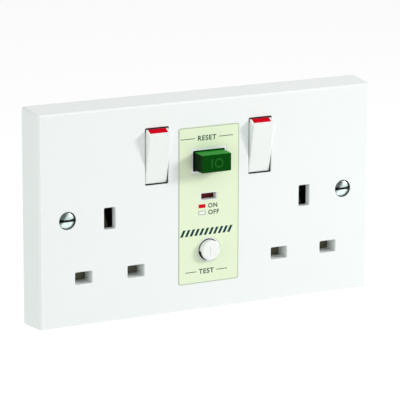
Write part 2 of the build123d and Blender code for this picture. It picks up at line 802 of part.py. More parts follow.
with BuildPart() as inner_deck:
    slab((-deck_half_x, deck_half_x), (-deck_half_z, deck_half_z), (deck_back, deck_front))
    for sign in (-1, 1):
        peg(sign * fixing_x, 0, fixing_boss_radius + gap, (deck_back, deck_front), Mode.SUBTRACT)
        outlet_x = sign * outlet_offset
        rocker_x = sign * rocker_offset
        # earth pin window, long enough for the shutter's ramp to travel
        slab((outlet_x - ramp_half - ramp_window_play, outlet_x + ramp_half + ramp_window_play),
             (ramp_bottom - shutter_travel - gap, earth_height + earth_mouth_height / 2 + gap),
             (deck_back, deck_front), Mode.SUBTRACT)
        # rocker stem window and the posts under the trunnions
        slab((rocker_x - stem_window[0], rocker_x + stem_window[0]),
             (rocker_centre_z - stem_window[1], rocker_centre_z + stem_window[1]),
             (deck_back, deck_front), Mode.SUBTRACT)
        post_top = rocker_pivot_height - trunnion_radius - gap
        for post in (-1, 1):
            inner = rocker_x + post * (rocker_width / 2 + trunnion_post_gap)
            outer = rocker_x + post * (rocker_width / 2 + trunnion_length)
            slab(sorted((inner, outer)),
                 (rocker_centre_z - trunnion_post_half, rocker_centre_z + trunnion_post_half),
                 (deck_front, post_top))
        # rails under the shutter blade and the wall behind its spring
        for rail in (-1, 1):
            rail_x = outlet_x + rail * (shutter_width / 2 - shutter_rail_inset)
            slab((rail_x - shutter_rail_half, rail_x + shutter_rail_half),
                 (blade_bottom - shutter_travel - gap, blade_top), (deck_front, blade_back - contact_gap))
        slab((outlet_x - spring_wall_half, outlet_x + spring_wall_half), (-deck_half_z, spring_wall_z),
             (deck_front, line_skirt_end + gap))
    # windows for the line and neutral pins
    with BuildSketch(level(deck_back)):
        with Locations(*line_mouths):
            Rectangle(line_pin_width + 2 * pin_window_play, line_pin_height + 2 * pin_window_play)
        with Locations((0, reset_centre_z)):
            Circle(reset_stem_diameter / 2 + gap)
        with Locations(*housing_screws):
            Circle(housing_screw_radius + housing_screw_play)
        with Locations((-test_post_x, test_centre_z), (test_post_x, test_centre_z)):
            Circle(test_post_radius + fit)
    extrude(amount=deck_thickness, mode=Mode.SUBTRACT)
    for sign in (-1, 1):
        peg(sign * guide_offset, guide_z, guide_radius, (deck_back, deck_back + guide_seat), Mode.SUBTRACT)
    # slot for the flag's tail
    slab((-flag_tail_half - 2 * gap, flag_tail_half + 2 * gap),
         (tail_bottom - flag_travel - gap, tail_top + gap), (deck_back, deck_front), Mode.SUBTRACT)
    # ears behind the deck for the latch and the reset lever
    for ear_x in latch_ears:
        slab((ear_x, ear_x + ear_thickness), (latch_pivot_z - ear_half, latch_pivot_z + ear_half),
             (latch_pivot_height - ear_half, deck_back))
        axle((ear_x, ear_x + ear_thickness), latch_pivot_z, latch_pivot_height, pin_radius, Mode.SUBTRACT)
    for ear_x in reset_ears:
        slab((ear_x, ear_x + ear_thickness),
             (reset_lever_pivot_z - ear_half, reset_lever_pivot_z + ear_half),
             (reset_pivot_height - ear_half, deck_back))
        axle((ear_x, ear_x + ear_thickness), reset_lever_pivot_z, reset_pivot_height, pin_radius,
             Mode.SUBTRACT)
inner_deck.part.label = "inner_deck"
export_step(inner_deck.part, "parts/inner_deck.step")

# Shutters: a blade over the line and neutral mouths, moved down by a ramp under the earth mouth
ramp_rise = 1.0
ramp_lift = 0.4
ramp_land = 0.5
ramp_front = blade_front + ramp_rise
ramp_foot = deck_back + ramp_lift
shutter_wire = 0.25
shutter_turns = 7
spring_height = (blade_back + blade_front) / 2
for side, sign in sides:
    outlet_x = sign * outlet_offset
    with BuildPart() as shutter:
        slab((outlet_x - shutter_width / 2, outlet_x + shutter_width / 2), (blade_bottom, blade_top),
             (blade_back, blade_front))
        slab((outlet_x - ramp_half, outlet_x + ramp_half), (blade_top, ramp_bottom + 1),
             (blade_back, blade_front))
        side_shape([(ramp_bottom, ramp_foot), (ramp_top_z, ramp_foot), (ramp_top_z, ramp_foot + ramp_land),
                    (ramp_top_z - shutter_travel, ramp_front), (ramp_bottom, ramp_front)],
                   (outlet_x - ramp_half, outlet_x + ramp_half))
    shutter.part.label = f"{side}_shutter"
    export_step(shutter.part, f"parts/{side}_shutter.step")

    with BuildPart() as shutter_spring:
        coil(Plane((outlet_x, -spring_height, spring_wall_z + shutter_wire), z_dir=(0, 0, 1)),
             blade_bottom - spring_wall_z - 2 * shutter_wire, shutter_spring_radius, shutter_wire,
             shutter_turns)
    shutter_spring.part.label = f"{side}_shutter_spring"
    export_step(shutter_spring.part, f"parts/{side}_shutter_spring.step")

# Contact clips: folded spring brass, two leaves that nip each pin
clip_lip = deck_back - clip_lip_drop
clip_base = clip_lip - clip_depth
bar_z = (gap - inner_half_height, gap - inner_half_height + bar_width)
leaf = clip_leaf_thickness / 2
for pole, offset_x in (("live", half_pitch), ("neutral", -half_pitch)):
    with BuildPart() as clips:
        for sign in (-1, 1):
            x = sign * outlet_offset + offset_x
            nip = line_pin_height / 2 - clip_squeeze + leaf
            flank = line_pin_height / 2 + clip_belly
            span = (x - clip_half_width, x + clip_half_width)
            side_strip([(line_z - nip - clip_flare, clip_lip), (line_z - nip, clip_lip - clip_throat),
                        (line_z - flank, clip_lip - clip_shoulder), (line_z - flank, clip_base + leaf),
                        (line_z + flank, clip_base + leaf), (line_z + flank, clip_lip - clip_shoulder),
                        (line_z + nip, clip_lip - clip_throat), (line_z + nip + clip_flare, clip_lip)],
                       clip_leaf_thickness, span)
            if pole == "neutral":
                slab((x - clip_tab_half, x + clip_tab_half), (bar_z[0], line_z - flank),
                     (clip_base, clip_base + clip_leaf_thickness))
    clips.part.label = f"{pole}_clips"
    export_step(clips.part, f"parts/{pole}_clips.step")

strap_heights = (terminal_bore_height - strap_thickness - fit, terminal_bore_height - fit)
earth_lip = ramp_foot - earth_clip_drop
earth_clip_zs = (earth_height - earth_pin_height / 2, earth_height + earth_pin_height / 2)
with BuildPart() as earth_clips:
    for sign in (-1, 1):
        x = sign * outlet_offset
        nip = earth_pin_width / 2 - clip_squeeze + leaf
        flank = earth_pin_width / 2 + earth_clip_belly
        top_strip([(x - nip - clip_flare, earth_lip), (x - nip, earth_lip - clip_throat),
                   (x - flank, earth_lip - clip_shoulder), (x - flank, strap_heights[1] + leaf),
                   (x + flank, strap_heights[1] + leaf), (x + flank, earth_lip - clip_shoulder),
                   (x + nip, earth_lip - clip_throat), (x + nip + clip_flare, earth_lip)],
                  clip_leaf_thickness, earth_clip_zs)
earth_clips.part.label = "earth_clips"
export_step(earth_clips.part, "parts/earth_clips.step")

# Terminals: drilled brass blocks with a clamping screw from the back
line_terminal_z = (terminal_near_z, terminal_near_z + terminal_length)
earth_terminal_z = (-terminal_near_z - terminal_length, -terminal_near_z)
terminal_heights = (-housing_floor, -housing_floor + terminal_depth)
screw_tip = terminal_bore_height - terminal_bore_radius - contact_gap


def terminal(x, zs, mouth_up):
    """A terminal block with its blind conductor bore and its screw's thread hole."""
    slab((x - terminal_width / 2, x + terminal_width / 2), zs, terminal_heights)
    bore = (zs[1] - terminal_bore_depth, zs[1]) if mouth_up else (zs[0], zs[0] + terminal_bore_depth)
    upright(x, terminal_bore_height, terminal_bore_radius, bore, Mode.SUBTRACT)
    middle = (zs[0] + zs[1]) / 2
    peg(x, middle, terminal_screw_radius, (terminal_heights[0], terminal_bore_height), Mode.SUBTRACT)


with BuildPart() as supply_terminals:
    for sign in (-1, 1):
        terminal(sign * line_terminal_x, line_terminal_z, True)
supply_terminals.part.label = "supply_terminals"
export_step(supply_terminals.part, "parts/supply_terminals.step")

with BuildPart() as earth_terminals:
    for sign in (-1, 1):
        terminal(sign * earth_terminal_x, earth_terminal_z, False)
earth_terminals.part.label = "earth_terminals"
export_step(earth_terminals.part, "parts/earth_terminals.step")

terminal_places = [(s * line_terminal_x, sum(line_terminal_z) / 2) for s in (-1, 1)]
terminal_places += [(s * earth_terminal_x, sum(earth_terminal_z) / 2) for s in (-1, 1)]
with BuildPart() as terminal_screws:
    for x, z in terminal_places:
        head_back = terminal_heights[0] - terminal_head_height
        peg(x, z, terminal_screw_radius, (terminal_heights[0], screw_tip))
        peg(x, z, terminal_head_radius, (head_back, terminal_heights[0]))
        slab((x - terminal_head_radius, x + terminal_head_radius),
             (z - screw_slot_width / 2, z + screw_slot_width / 2),
             (head_back, head_back + screw_slot_depth), Mode.SUBTRACT)
terminal_screws.part.label = "terminal_screws"
export_step(terminal_screws.part, "parts/terminal_screws.step")

# Earth strap: joins both earth clips and both earth terminals
strap_zs = (earth_height - strap_width / 2, earth_height + strap_width / 2)
with BuildPart() as earth_strap:
    end_x = outlet_offset + earth_pin_width / 2 + earth_clip_belly + clip_leaf_thickness
    slab((-end_x, end_x), strap_zs, strap_heights)
    for sign in (-1, 1):
        x = sign * earth_terminal_x
        slab((x - strap_branch_width / 2, x + strap_branch_width / 2), (earth_terminal_z[1], strap_zs[0]),
             strap_heights)
earth_strap.part.label = "earth_strap"
export_step(earth_strap.part, "parts/earth_strap.step")

# Neutral busbar: from the trip contact's pad, down and along to both neutral clips
bar_back = clip_base - bar_thickness
pad_reach = bridge_half_length - bridge_width / 2 + bridge_pad_shift
pad_z = bridge_centre_z + pad_reach
feed_z = bridge_centre_z - pad_reach
pad_zs = (pad_z - bridge_width / 2, pad_z + bridge_width / 2)
strip_heights = (deck_back - strip_thickness, deck_back)
riser_gap = 0.5
riser_x = carrier_half_width + riser_gap
riser_inner = riser_x - strip_width / 2
riser_outer = riser_x + strip_width / 2
fixed_button = strip_heights[0] - contact_button_height
with BuildPart() as neutral_busbar:
    slab((-outlet_offset - half_pitch - clip_tab_half, outlet_offset - half_pitch + clip_tab_half), bar_z,
         (bar_back, clip_base))
    slab((-riser_outer, -riser_inner), (bar_z[0], bar_z[0] + strip_thickness), (clip_base, deck_back))
    slab((-riser_outer, -riser_inner), (bar_z[0], pad_zs[1]), strip_heights)
    slab((-riser_x, -bridge_offset + bridge_width / 2), pad_zs, strip_heights)
    peg(-bridge_offset, pad_z, contact_button_radius, (fixed_button, strip_heights[0]))
neutral_busbar.part.label = "neutral_busbar"
export_step(neutral_busbar.part, "parts/neutral_busbar.step")

# Live busbar: from the trip contact's pad up to the pivot brackets of both switches
cross_rise = 4.6
bracket_half = 2.2
cross_z = rocker_centre_z + cross_rise
cross_zs = (cross_z - strip_width / 2, cross_z + strip_width / 2)
with BuildPart() as live_busbar:
    slab((bridge_offset - bridge_width / 2, riser_x), pad_zs, strip_heights)
    slab((riser_inner, riser_outer), (pad_zs[0], cross_zs[1]), strip_heights)
    slab((-riser_outer, riser_outer), cross_zs, strip_heights)
    slab((-riser_outer, -riser_inner), (rocker_centre_z - bracket_half, cross_zs[1]), strip_heights)
    peg(bridge_offset, pad_z, contact_button_radius, (fixed_button, strip_heights[0]))
live_busbar.part.label = "live_busbar"
export_step(live_busbar.part, "parts/live_busbar.step")

# Feed strips: take the two supply wires to the trip contacts
feed_tail = feed_z - bridge_width / 2 - wire_diameter - 2 * gap
with BuildPart() as feed_strips:
    for sign in (-1, 1):
        x = sign * bridge_offset
        slab((x - bridge_width / 2, x + bridge_width / 2), (feed_tail, feed_z + bridge_width / 2),
             strip_heights)
        peg(x, feed_z, contact_button_radius, (fixed_button, strip_heights[0]))
feed_strips.part.label = "feed_strips"
export_step(feed_strips.part, "parts/feed_strips.step")

# See-saw contacts: dished strips on a cross pin, tipped by the plungers; switched on,
# the upper wing lies parallel to the wall with its button on the fixed contact
seesaw_front = rocker_pivot_height - plunger_reach - gap
seesaw_pivot_height = seesaw_front - seesaw_thickness - seesaw_pin_lift
seesaw_pin_half = seesaw_width / 2 + seesaw_pin_reach
wing_rise = seesaw_arm * tan(radians(seesaw_tilt))
wing_offset = seesaw_thickness / 2 + seesaw_pin_lift
wing_back = seesaw_pivot_height + wing_offset * cos(radians(seesaw_tilt)) - seesaw_thickness / 2
button_z = rocker_centre_z + seesaw_arm - contact_button_radius - gap
fixed_strip_front = wing_back - 2 * contact_button_height - contact_gap
fixed_strip = (fixed_strip_front - strip_thickness, fixed_strip_front)
bracket_foot = fixed_strip[0] - 2 * strip_thickness
for side, sign in sides:
    x = sign * rocker_offset
    tilt = radians(seesaw_tilt)
    seesaw_plane = Plane((x - seesaw_width / 2, -seesaw_pivot_height, rocker_centre_z),
                         x_dir=(0, sin(tilt), cos(tilt)), z_dir=(1, 0, 0))
    with BuildPart() as seesaw:
        with BuildSketch(seesaw_plane):
            with BuildLine():
                Polyline((-seesaw_arm, wing_offset + wing_rise), (0, wing_offset),
                         (seesaw_arm, wing_offset + wing_rise))
                offset(amount=seesaw_thickness / 2, side=Side.BOTH, kind=Kind.INTERSECTION)
            make_face()
        extrude(amount=seesaw_width)
        axle((x - seesaw_pin_half, x + seesaw_pin_half), rocker_centre_z, seesaw_pivot_height,
             seesaw_pin_radius)
        peg(x, button_z, contact_button_radius, (wing_back - contact_button_height, wing_back))
    seesaw.part.label = f"{side}_seesaw_contact"
    export_step(seesaw.part, f"parts/{side}_seesaw_contact.step")

# Pivot brackets: carry the see-saws and join them to the live busbar
bracket_zs = (rocker_centre_z - bracket_half, rocker_centre_z + bracket_half)
bracket_ear_half = 1.5
ear_zs = (rocker_centre_z - bracket_ear_half, rocker_centre_z + bracket_ear_half)
with BuildPart() as pivot_brackets:
    for sign in (-1, 1):
        x = sign * rocker_offset
        far_x = x + sign * (seesaw_pin_half + seesaw_pin_lift)
        slab(sorted((sign * riser_outer, sign * (riser_outer + strip_thickness))), bracket_zs,
             (bracket_foot, deck_back))
        slab(sorted((sign * riser_outer, far_x)), bracket_zs, (bracket_foot, bracket_foot + strip_thickness))
        for ear in (-1, 1):
            ear_x = sorted((x + ear * (seesaw_width / 2 + gap), x + ear * (seesaw_pin_half - contact_gap)))
            slab(ear_x, ear_zs,
                 (bracket_foot + strip_thickness, seesaw_pivot_height + 2 * seesaw_pin_radius))
            axle(ear_x, rocker_centre_z, seesaw_pivot_height, seesaw_pin_radius + fit, Mode.SUBTRACT)
pivot_brackets.part.label = "pivot_brackets"
export_step(pivot_brackets.part, "parts/pivot_brackets.step")

# Switched live strips: from each fixed contact to the live clip of the same outlet
clip_top_z = line_z + line_pin_height / 2 + clip_belly + leaf
strip_zs = (button_z - switched_strip_width / 2, button_z + switched_strip_width / 2)
column_half = switched_column_width / 2
left_clip_x = half_pitch - outlet_offset
right_wall_x = inner_half_width - switched_column_gap
column_xs = {"left": (left_clip_x - column_half, left_clip_x + column_half),
             "right": (right_wall_x - switched_column_width, right_wall_x)}
for side, sign in sides:
    x = sign * rocker_offset
    clip_x = sign * outlet_offset + half_pitch
    column = column_xs[side]
    foot_xs = (min(column[0], clip_x - column_half), max(column[1], clip_x + column_half))
    with BuildPart() as switched_strip:
        ends = [x - seesaw_width / 2, x + seesaw_width / 2, column[0], column[1]]
        slab((min(ends), max(ends)), strip_zs, fixed_strip)
        slab(column, (clip_top_z, strip_zs[1]), fixed_strip)
        slab(foot_xs, (clip_top_z, clip_top_z + switched_column_width), fixed_strip)
        peg(x, button_z, contact_button_radius, (fixed_strip[1], fixed_strip[1] + contact_button_height))
    switched_strip.part.label = f"{side}_switched_strip"
    export_step(switched_strip.part, f"parts/{side}_switched_strip.step")

# Contact carrier: slides on two guide pins and carries both moving contact bridges
bridge_button_top = fixed_button - contact_gap
bridge_front = bridge_button_top - contact_button_height
bridge_back = bridge_front - strip_thickness
pocket_floor = carrier_back + carrier_web
tail_slot_half = flag_tail_half + gap
steer_ear_x = 2.6
steer_ear_half = 1.3
with BuildPart() as contact_carrier:
    slab((-carrier_half_width, carrier_half_width), (carrier_bottom, carrier_top),
         (carrier_back, carrier_front))
    for sign in (-1, 1):
        guide_x = sign * guide_offset
        bridge_x = sign * bridge_offset
        peg(guide_x, guide_z, guide_pocket_radius, (pocket_floor, carrier_front), Mode.SUBTRACT)
        peg(guide_x, guide_z, guide_radius + fit, (carrier_back, carrier_front), Mode.SUBTRACT)
        peg(bridge_x, bridge_centre_z, bridge_pocket_radius, (pocket_floor, carrier_front), Mode.SUBTRACT)
        peg(bridge_x, bridge_centre_z, bridge_post_radius, (pocket_floor, bridge_front + bridge_post_radius))
    slab((-tail_slot_half, tail_slot_half), (tail_bottom - flag_travel - gap, carrier_top),
         (tail_end - gap, carrier_front), Mode.SUBTRACT)
    for ear in (-1, 1):
        slab(sorted((ear * tail_slot_half, ear * steer_ear_x)),
             (steer_z - steer_ear_half, steer_z + steer_ear_half),
             (carrier_front, steer_height + steer_radius + 2 * contact_gap))
    axle((-steer_ear_x, steer_ear_x), steer_z, steer_height, steer_radius)
contact_carrier.part.label = "contact_carrier"
export_step(contact_carrier.part, "parts/contact_carrier.step")

for pole, sign in (("live", 1), ("neutral", -1)):
    x = sign * bridge_offset
    with BuildPart() as bridge:
        slab((x - bridge_width / 2, x + bridge_width / 2),
             (bridge_centre_z - bridge_half_length, bridge_centre_z + bridge_half_length),
             (bridge_back, bridge_front))
        for contact_z in (pad_z, feed_z):
            peg(x, contact_z, contact_button_radius, (bridge_front, bridge_button_top))
        peg(x, bridge_centre_z, bridge_post_radius + fit, (bridge_back, bridge_front), Mode.SUBTRACT)
    bridge.part.label = f"{pole}_contact_bridge"
    export_step(bridge.part, f"parts/{pole}_contact_bridge.step")

contact_wire = 0.2
contact_spring_radius = bridge_post_radius + 3 * contact_wire
contact_turns = 5
with BuildPart() as contact_springs:
    for sign in (-1, 1):
        spring_foot = (sign * bridge_offset, -(pocket_floor + contact_wire), bridge_centre_z)
        coil(Plane(spring_foot, z_dir=(0, -1, 0)), bridge_back - pocket_floor - 2 * contact_wire,
             contact_spring_radius, contact_wire, contact_turns)
contact_springs.part.label = "contact_springs"
export_step(contact_springs.part, "parts/contact_springs.step")

with BuildPart() as guide_pins:
    for sign in (-1, 1):
        peg(sign * guide_offset, guide_z, guide_radius,
            (carrier_back - carrier_travel - guide_tail, deck_back + guide_seat))
guide_pins.part.label = "guide_pins"
export_step(guide_pins.part, "parts/guide_pins.step")

opening_wire = 0.25
opening_spring_gap = 0.6
opening_spring_radius = guide_radius + opening_spring_gap
opening_turns = 6
with BuildPart() as opening_springs:
    for sign in (-1, 1):
        spring_foot = (sign * guide_offset, -(pocket_floor + opening_wire), guide_z)
        coil(Plane(spring_foot, z_dir=(0, -1, 0)), deck_back - pocket_floor - 2 * opening_wire,
             opening_spring_radius, opening_wire, opening_turns)
opening_springs.part.label = "opening_springs"
export_step(opening_springs.part, "parts/opening_springs.step")

# Latch lever: its sloped nose stands behind the carrier's edge, its forked tail is drawn by the solenoid
latch_zs = (latch_pivot_z - latch_half, latch_pivot_z + latch_half)
latch_xs = (latch_centre_x - latch_width / 2, latch_centre_x + latch_width / 2)
latch_top = latch_pivot_height + latch_half + contact_gap
nose_front = carrier_back - latch_running_gap
nose_thickness = 2.15
nose_back = nose_front - nose_thickness
nose_tip = 1.3
fork_arm = 1.4
fork_half = 1.8
fork_play = 0.2
fork_xs = (latch_xs[0] - fork_arm, latch_xs[1] + fork_arm)
fork_heights = (solenoid_height - fork_half, solenoid_height + fork_half)
fork_slot = solenoid_plunger_radius + fork_play
with BuildPart() as latch_lever:
    side_shape([(latch_zs[0], latch_top), (latch_zs[1], latch_top), (latch_zs[1], fork_heights[0]),
                (latch_zs[0], fork_heights[0]), (latch_zs[0], nose_back),
                (carrier_top - nose_tip / 2, nose_back),
                (carrier_top - nose_tip, nose_front - nose_tip + contact_gap), (carrier_top, nose_front),
                (latch_zs[0], nose_front)], latch_xs)
    slab(fork_xs, latch_zs, fork_heights)
    slab((latch_centre_x - fork_slot, latch_centre_x + fork_slot), latch_zs,
         (fork_heights[0], solenoid_height + fork_slot), Mode.SUBTRACT)
    axle(latch_xs, latch_pivot_z, latch_pivot_height, pin_radius + fit, Mode.SUBTRACT)
latch_lever.part.label = "latch_lever"
export_step(latch_lever.part, "parts/latch_lever.step")

# Reset lever: pushed by the reset stem, its other end lifts the carrier back to the closed place
stem_tip = (reset_lever_pivot_z + reset_lever_arm * cos(reset_lever_angle),
            reset_pivot_height + reset_lever_arm * sin(reset_lever_angle))
lift_tip = (reset_lever_pivot_z - reset_lever_back, reset_pivot_height - reset_lever_drop)
lever_boss_wall = 0.9
lever_boss_radius = pin_radius + lever_boss_wall
with BuildPart() as reset_lever:
    side_strip([stem_tip, (reset_lever_pivot_z, reset_pivot_height), lift_tip], 2 * reset_lever_half,
               reset_lever_xs)
    axle(reset_lever_xs, *stem_tip, reset_lever_tip_radius)
    axle(reset_lever_xs, *lift_tip, reset_lever_tip_radius)
    axle(reset_lever_xs, reset_lever_pivot_z, reset_pivot_height, lever_boss_radius)
    axle(reset_lever_xs, reset_lever_pivot_z, reset_pivot_height, pin_radius + fit, Mode.SUBTRACT)
reset_lever.part.label = "reset_lever"
export_step(reset_lever.part, "parts/reset_lever.step")

with BuildPart() as lever_pins:
    axle((latch_ears[0], latch_ears[1] + ear_thickness), latch_pivot_z, latch_pivot_height, pin_radius)
    axle((reset_ears[0], reset_ears[1] + ear_thickness), reset_lever_pivot_z, reset_pivot_height, pin_radius)
lever_pins.part.label = "lever_pins"
export_step(lever_pins.part, "parts/lever_pins.step")

# Solenoid: steel yoke, bobbin, winding and the plunger whose head draws the latch
solenoid_top_z = solenoid_bottom_z + solenoid_length
bobbin_zs = (solenoid_bottom_z + yoke_thickness, solenoid_top_z - yoke_thickness)
tube_radius = solenoid_plunger_radius + bobbin_tube_wall
yoke_xs = (latch_centre_x - yoke_half_width, latch_centre_x + yoke_half_width)
with BuildPart() as solenoid_yoke:
    yoke_front = solenoid_height + flange_radius
    for zs in ((solenoid_bottom_z, bobbin_zs[0]), (bobbin_zs[1], solenoid_top_z)):
        slab(yoke_xs, zs, (-housing_floor, yoke_front))
    slab(yoke_xs, (solenoid_bottom_z, solenoid_top_z), (-housing_floor, -housing_floor + yoke_thickness))
    upright(latch_centre_x, solenoid_height, solenoid_plunger_radius + fit,
            (solenoid_bottom_z, bobbin_zs[0]), Mode.SUBTRACT)
solenoid_yoke.part.label = "solenoid_yoke"
export_step(solenoid_yoke.part, "parts/solenoid_yoke.step")

with BuildPart() as solenoid_bobbin:
    upright(latch_centre_x, solenoid_height, tube_radius, bobbin_zs)
    for flange_z in (bobbin_zs[0], bobbin_zs[1] - flange_thickness):
        upright(latch_centre_x, solenoid_height, flange_radius, (flange_z, flange_z + flange_thickness))
    upright(latch_centre_x, solenoid_height, solenoid_plunger_radius + fit, bobbin_zs, Mode.SUBTRACT)
solenoid_bobbin.part.label = "solenoid_bobbin"
export_step(solenoid_bobbin.part, "parts/solenoid_bobbin.step")

with BuildPart() as solenoid_winding:
    winding_zs = (bobbin_zs[0] + flange_thickness, bobbin_zs[1] - flange_thickness)
    upright(latch_centre_x, solenoid_height, flange_radius - gap, winding_zs)
    upright(latch_centre_x, solenoid_height, tube_radius, winding_zs, Mode.SUBTRACT)
solenoid_winding.part.label = "solenoid_winding"
export_step(solenoid_winding.part, "parts/solenoid_winding.step")

head_top_z = latch_zs[0] - solenoid_head_gap
head_zs = (head_top_z - solenoid_head_thickness, head_top_z)
with BuildPart() as solenoid_plunger:
    upright(latch_centre_x, solenoid_height, solenoid_plunger_radius,
            (head_zs[0], bobbin_zs[1] - solenoid_travel - gap))
    upright(latch_centre_x, solenoid_height, solenoid_plunger_radius + solenoid_head_rim, head_zs)
solenoid_plunger.part.label = "solenoid_plunger"
export_step(solenoid_plunger.part, "parts/solenoid_plunger.step")

# Sensing core: a ring that both supply wires pass through, with its winding on two sides
core_zs = (core_centre_z - core_length / 2, core_centre_z + core_length / 2)
with BuildPart() as sensing_core:
    upright(0, core_centre_height, core_outer_radius, core_zs)
    upright(0, core_centre_height, core_inner_radius, core_zs, Mode.SUBTRACT)
sensing_core.part.label = "sensing_core"
export_step(sensing_core.part, "parts/sensing_core.step")

wound_zs = (core_zs[0] - winding_thickness, core_zs[1] + winding_thickness)
wound_radius = core_outer_radius + winding_thickness
with BuildPart() as sensing_winding:
    upright(0, core_centre_height, wound_radius, wound_zs)
    upright(0, core_centre_height, core_inner_radius - winding_thickness, wound_zs, Mode.SUBTRACT)
    for sign in (-1, 1):
        slab((-wound_radius, wound_radius), wound_zs,
             sorted((core_centre_height + sign * core_wound_half, core_centre_height + sign * wound_radius)),
             Mode.SUBTRACT)
    with BuildSketch(Plane.XY.offset(core_zs[0])) as ring:
        with Locations((0, -core_centre_height)):
            Circle(core_outer_radius)
            Circle(core_inner_radius, mode=Mode.SUBTRACT)
    extrude(ring.sketch, amount=core_length, mode=Mode.SUBTRACT)
sensing_winding.part.label = "sensing_winding"
export_step(sensing_winding.part, "parts/sensing_winding.step")

# Circuit board behind the core, with its components
with BuildPart() as circuit_board:
    board_heights = (board_front - board_thickness, board_front)
    slab((-board_half_width, board_half_width), (board_bottom, board_top), board_heights)
circuit_board.part.label = "circuit_board"
export_step(circuit_board.part, "parts/circuit_board.step")

# control chip and thyristor above the core, varistor and capacitor below it, and three resistors
chip_z = core_zs[1] + chip_place[1]
thyristor_z = core_zs[1] + thyristor_place[1]
resistor_zs = (chip_z + chip_size[1] / 2 + resistor_rise, board_top - resistor_inset - resistor_pitch,
               board_top - resistor_inset)
with BuildPart() as board_components:
    blocks = ((chip_size, chip_place[0], chip_z), (thyristor_size, thyristor_place[0], thyristor_z))
    for size, x, z in blocks:
        slab((x - size[0] / 2, x + size[0] / 2), (z - size[1] / 2, z + size[1] / 2),
             (board_front, board_front + size[2]))
    peg(varistor_place[0], core_zs[0] - varistor_place[1], varistor_size[0],
        (board_front, board_front + varistor_size[1]))
    for z in resistor_zs:
        axle(resistor_xs, z, board_front + resistor_radius, resistor_radius)
board_components.part.label = "board_components"
export_step(board_components.part, "parts/board_components.step")

with BuildPart() as board_capacitor:
    peg(capacitor_place[0], core_zs[0] - capacitor_place[1], capacitor_size[0],
        (board_front, board_front + capacitor_size[1]))
board_capacitor.part.label = "board_capacitor"
export_step(board_capacitor.part, "parts/board_capacitor.step")

# Supply wires: from the terminals down, together through the core, and up to the feed strips
wire_radius = wire_diameter / 2
wire_side_x = 25.2
wire_middle_x = 1.9
wire_low_gap = 2.0
wire_end_gap = 1.9
wire_low_z = bar_z[1] + wire_low_gap
wire_end_z = carrier_bottom - wire_end_gap
wire_bend = 3.4
bend_share = 0.45
for pole, sign in (("live", 1), ("neutral", -1)):
    route = [(line_terminal_x, line_terminal_z[0], terminal_bore_height),
             (line_terminal_x, 13.0, terminal_bore_height), (wire_side_x, 5.0, -12.0),
             (wire_side_x, -4.0, core_centre_height), (wire_side_x, wire_low_z, core_centre_height),
             (wire_middle_x, wire_low_z, core_centre_height),
             (wire_middle_x, wire_end_z - 3.1, core_centre_height), (bridge_offset, wire_end_z, -4.6),
             (bridge_offset, wire_end_z, strip_heights[0])]
    corners = [Vector(sign * x, -height, z) for x, z, height in route]
    bends = []
    for before, here, after in zip(corners, corners[1:], corners[2:]):
        turn = radians((here - before).get_angle(after - here))
        shorter = min((here - before).length, (after - here).length)
        bends.append(min(bend_share * shorter / tan(turn / 2), wire_bend))
    with BuildPart() as wire:
        with BuildLine() as wire_path:
            FilletPolyline(*corners, radius=bends)
        with BuildSketch(Plane(corners[0], z_dir=corners[1] - corners[0])):
            Circle(wire_radius)
        sweep(path=wire_path.line)
    wire_length = sum(edge.length for edge in wire_path.edges())
    print(pole, "wire length", round(wire_length, 1), "volume", round(wire.part.volume, 1))
    print("section by length", round(wire_length * pi * wire_radius**2, 1))
    print("bend radii", [round(bend, 1) for bend in bends])
    wire.part.label = f"{pole}_wire"
    export_step(wire.part, f"parts/{pole}_wire.step")

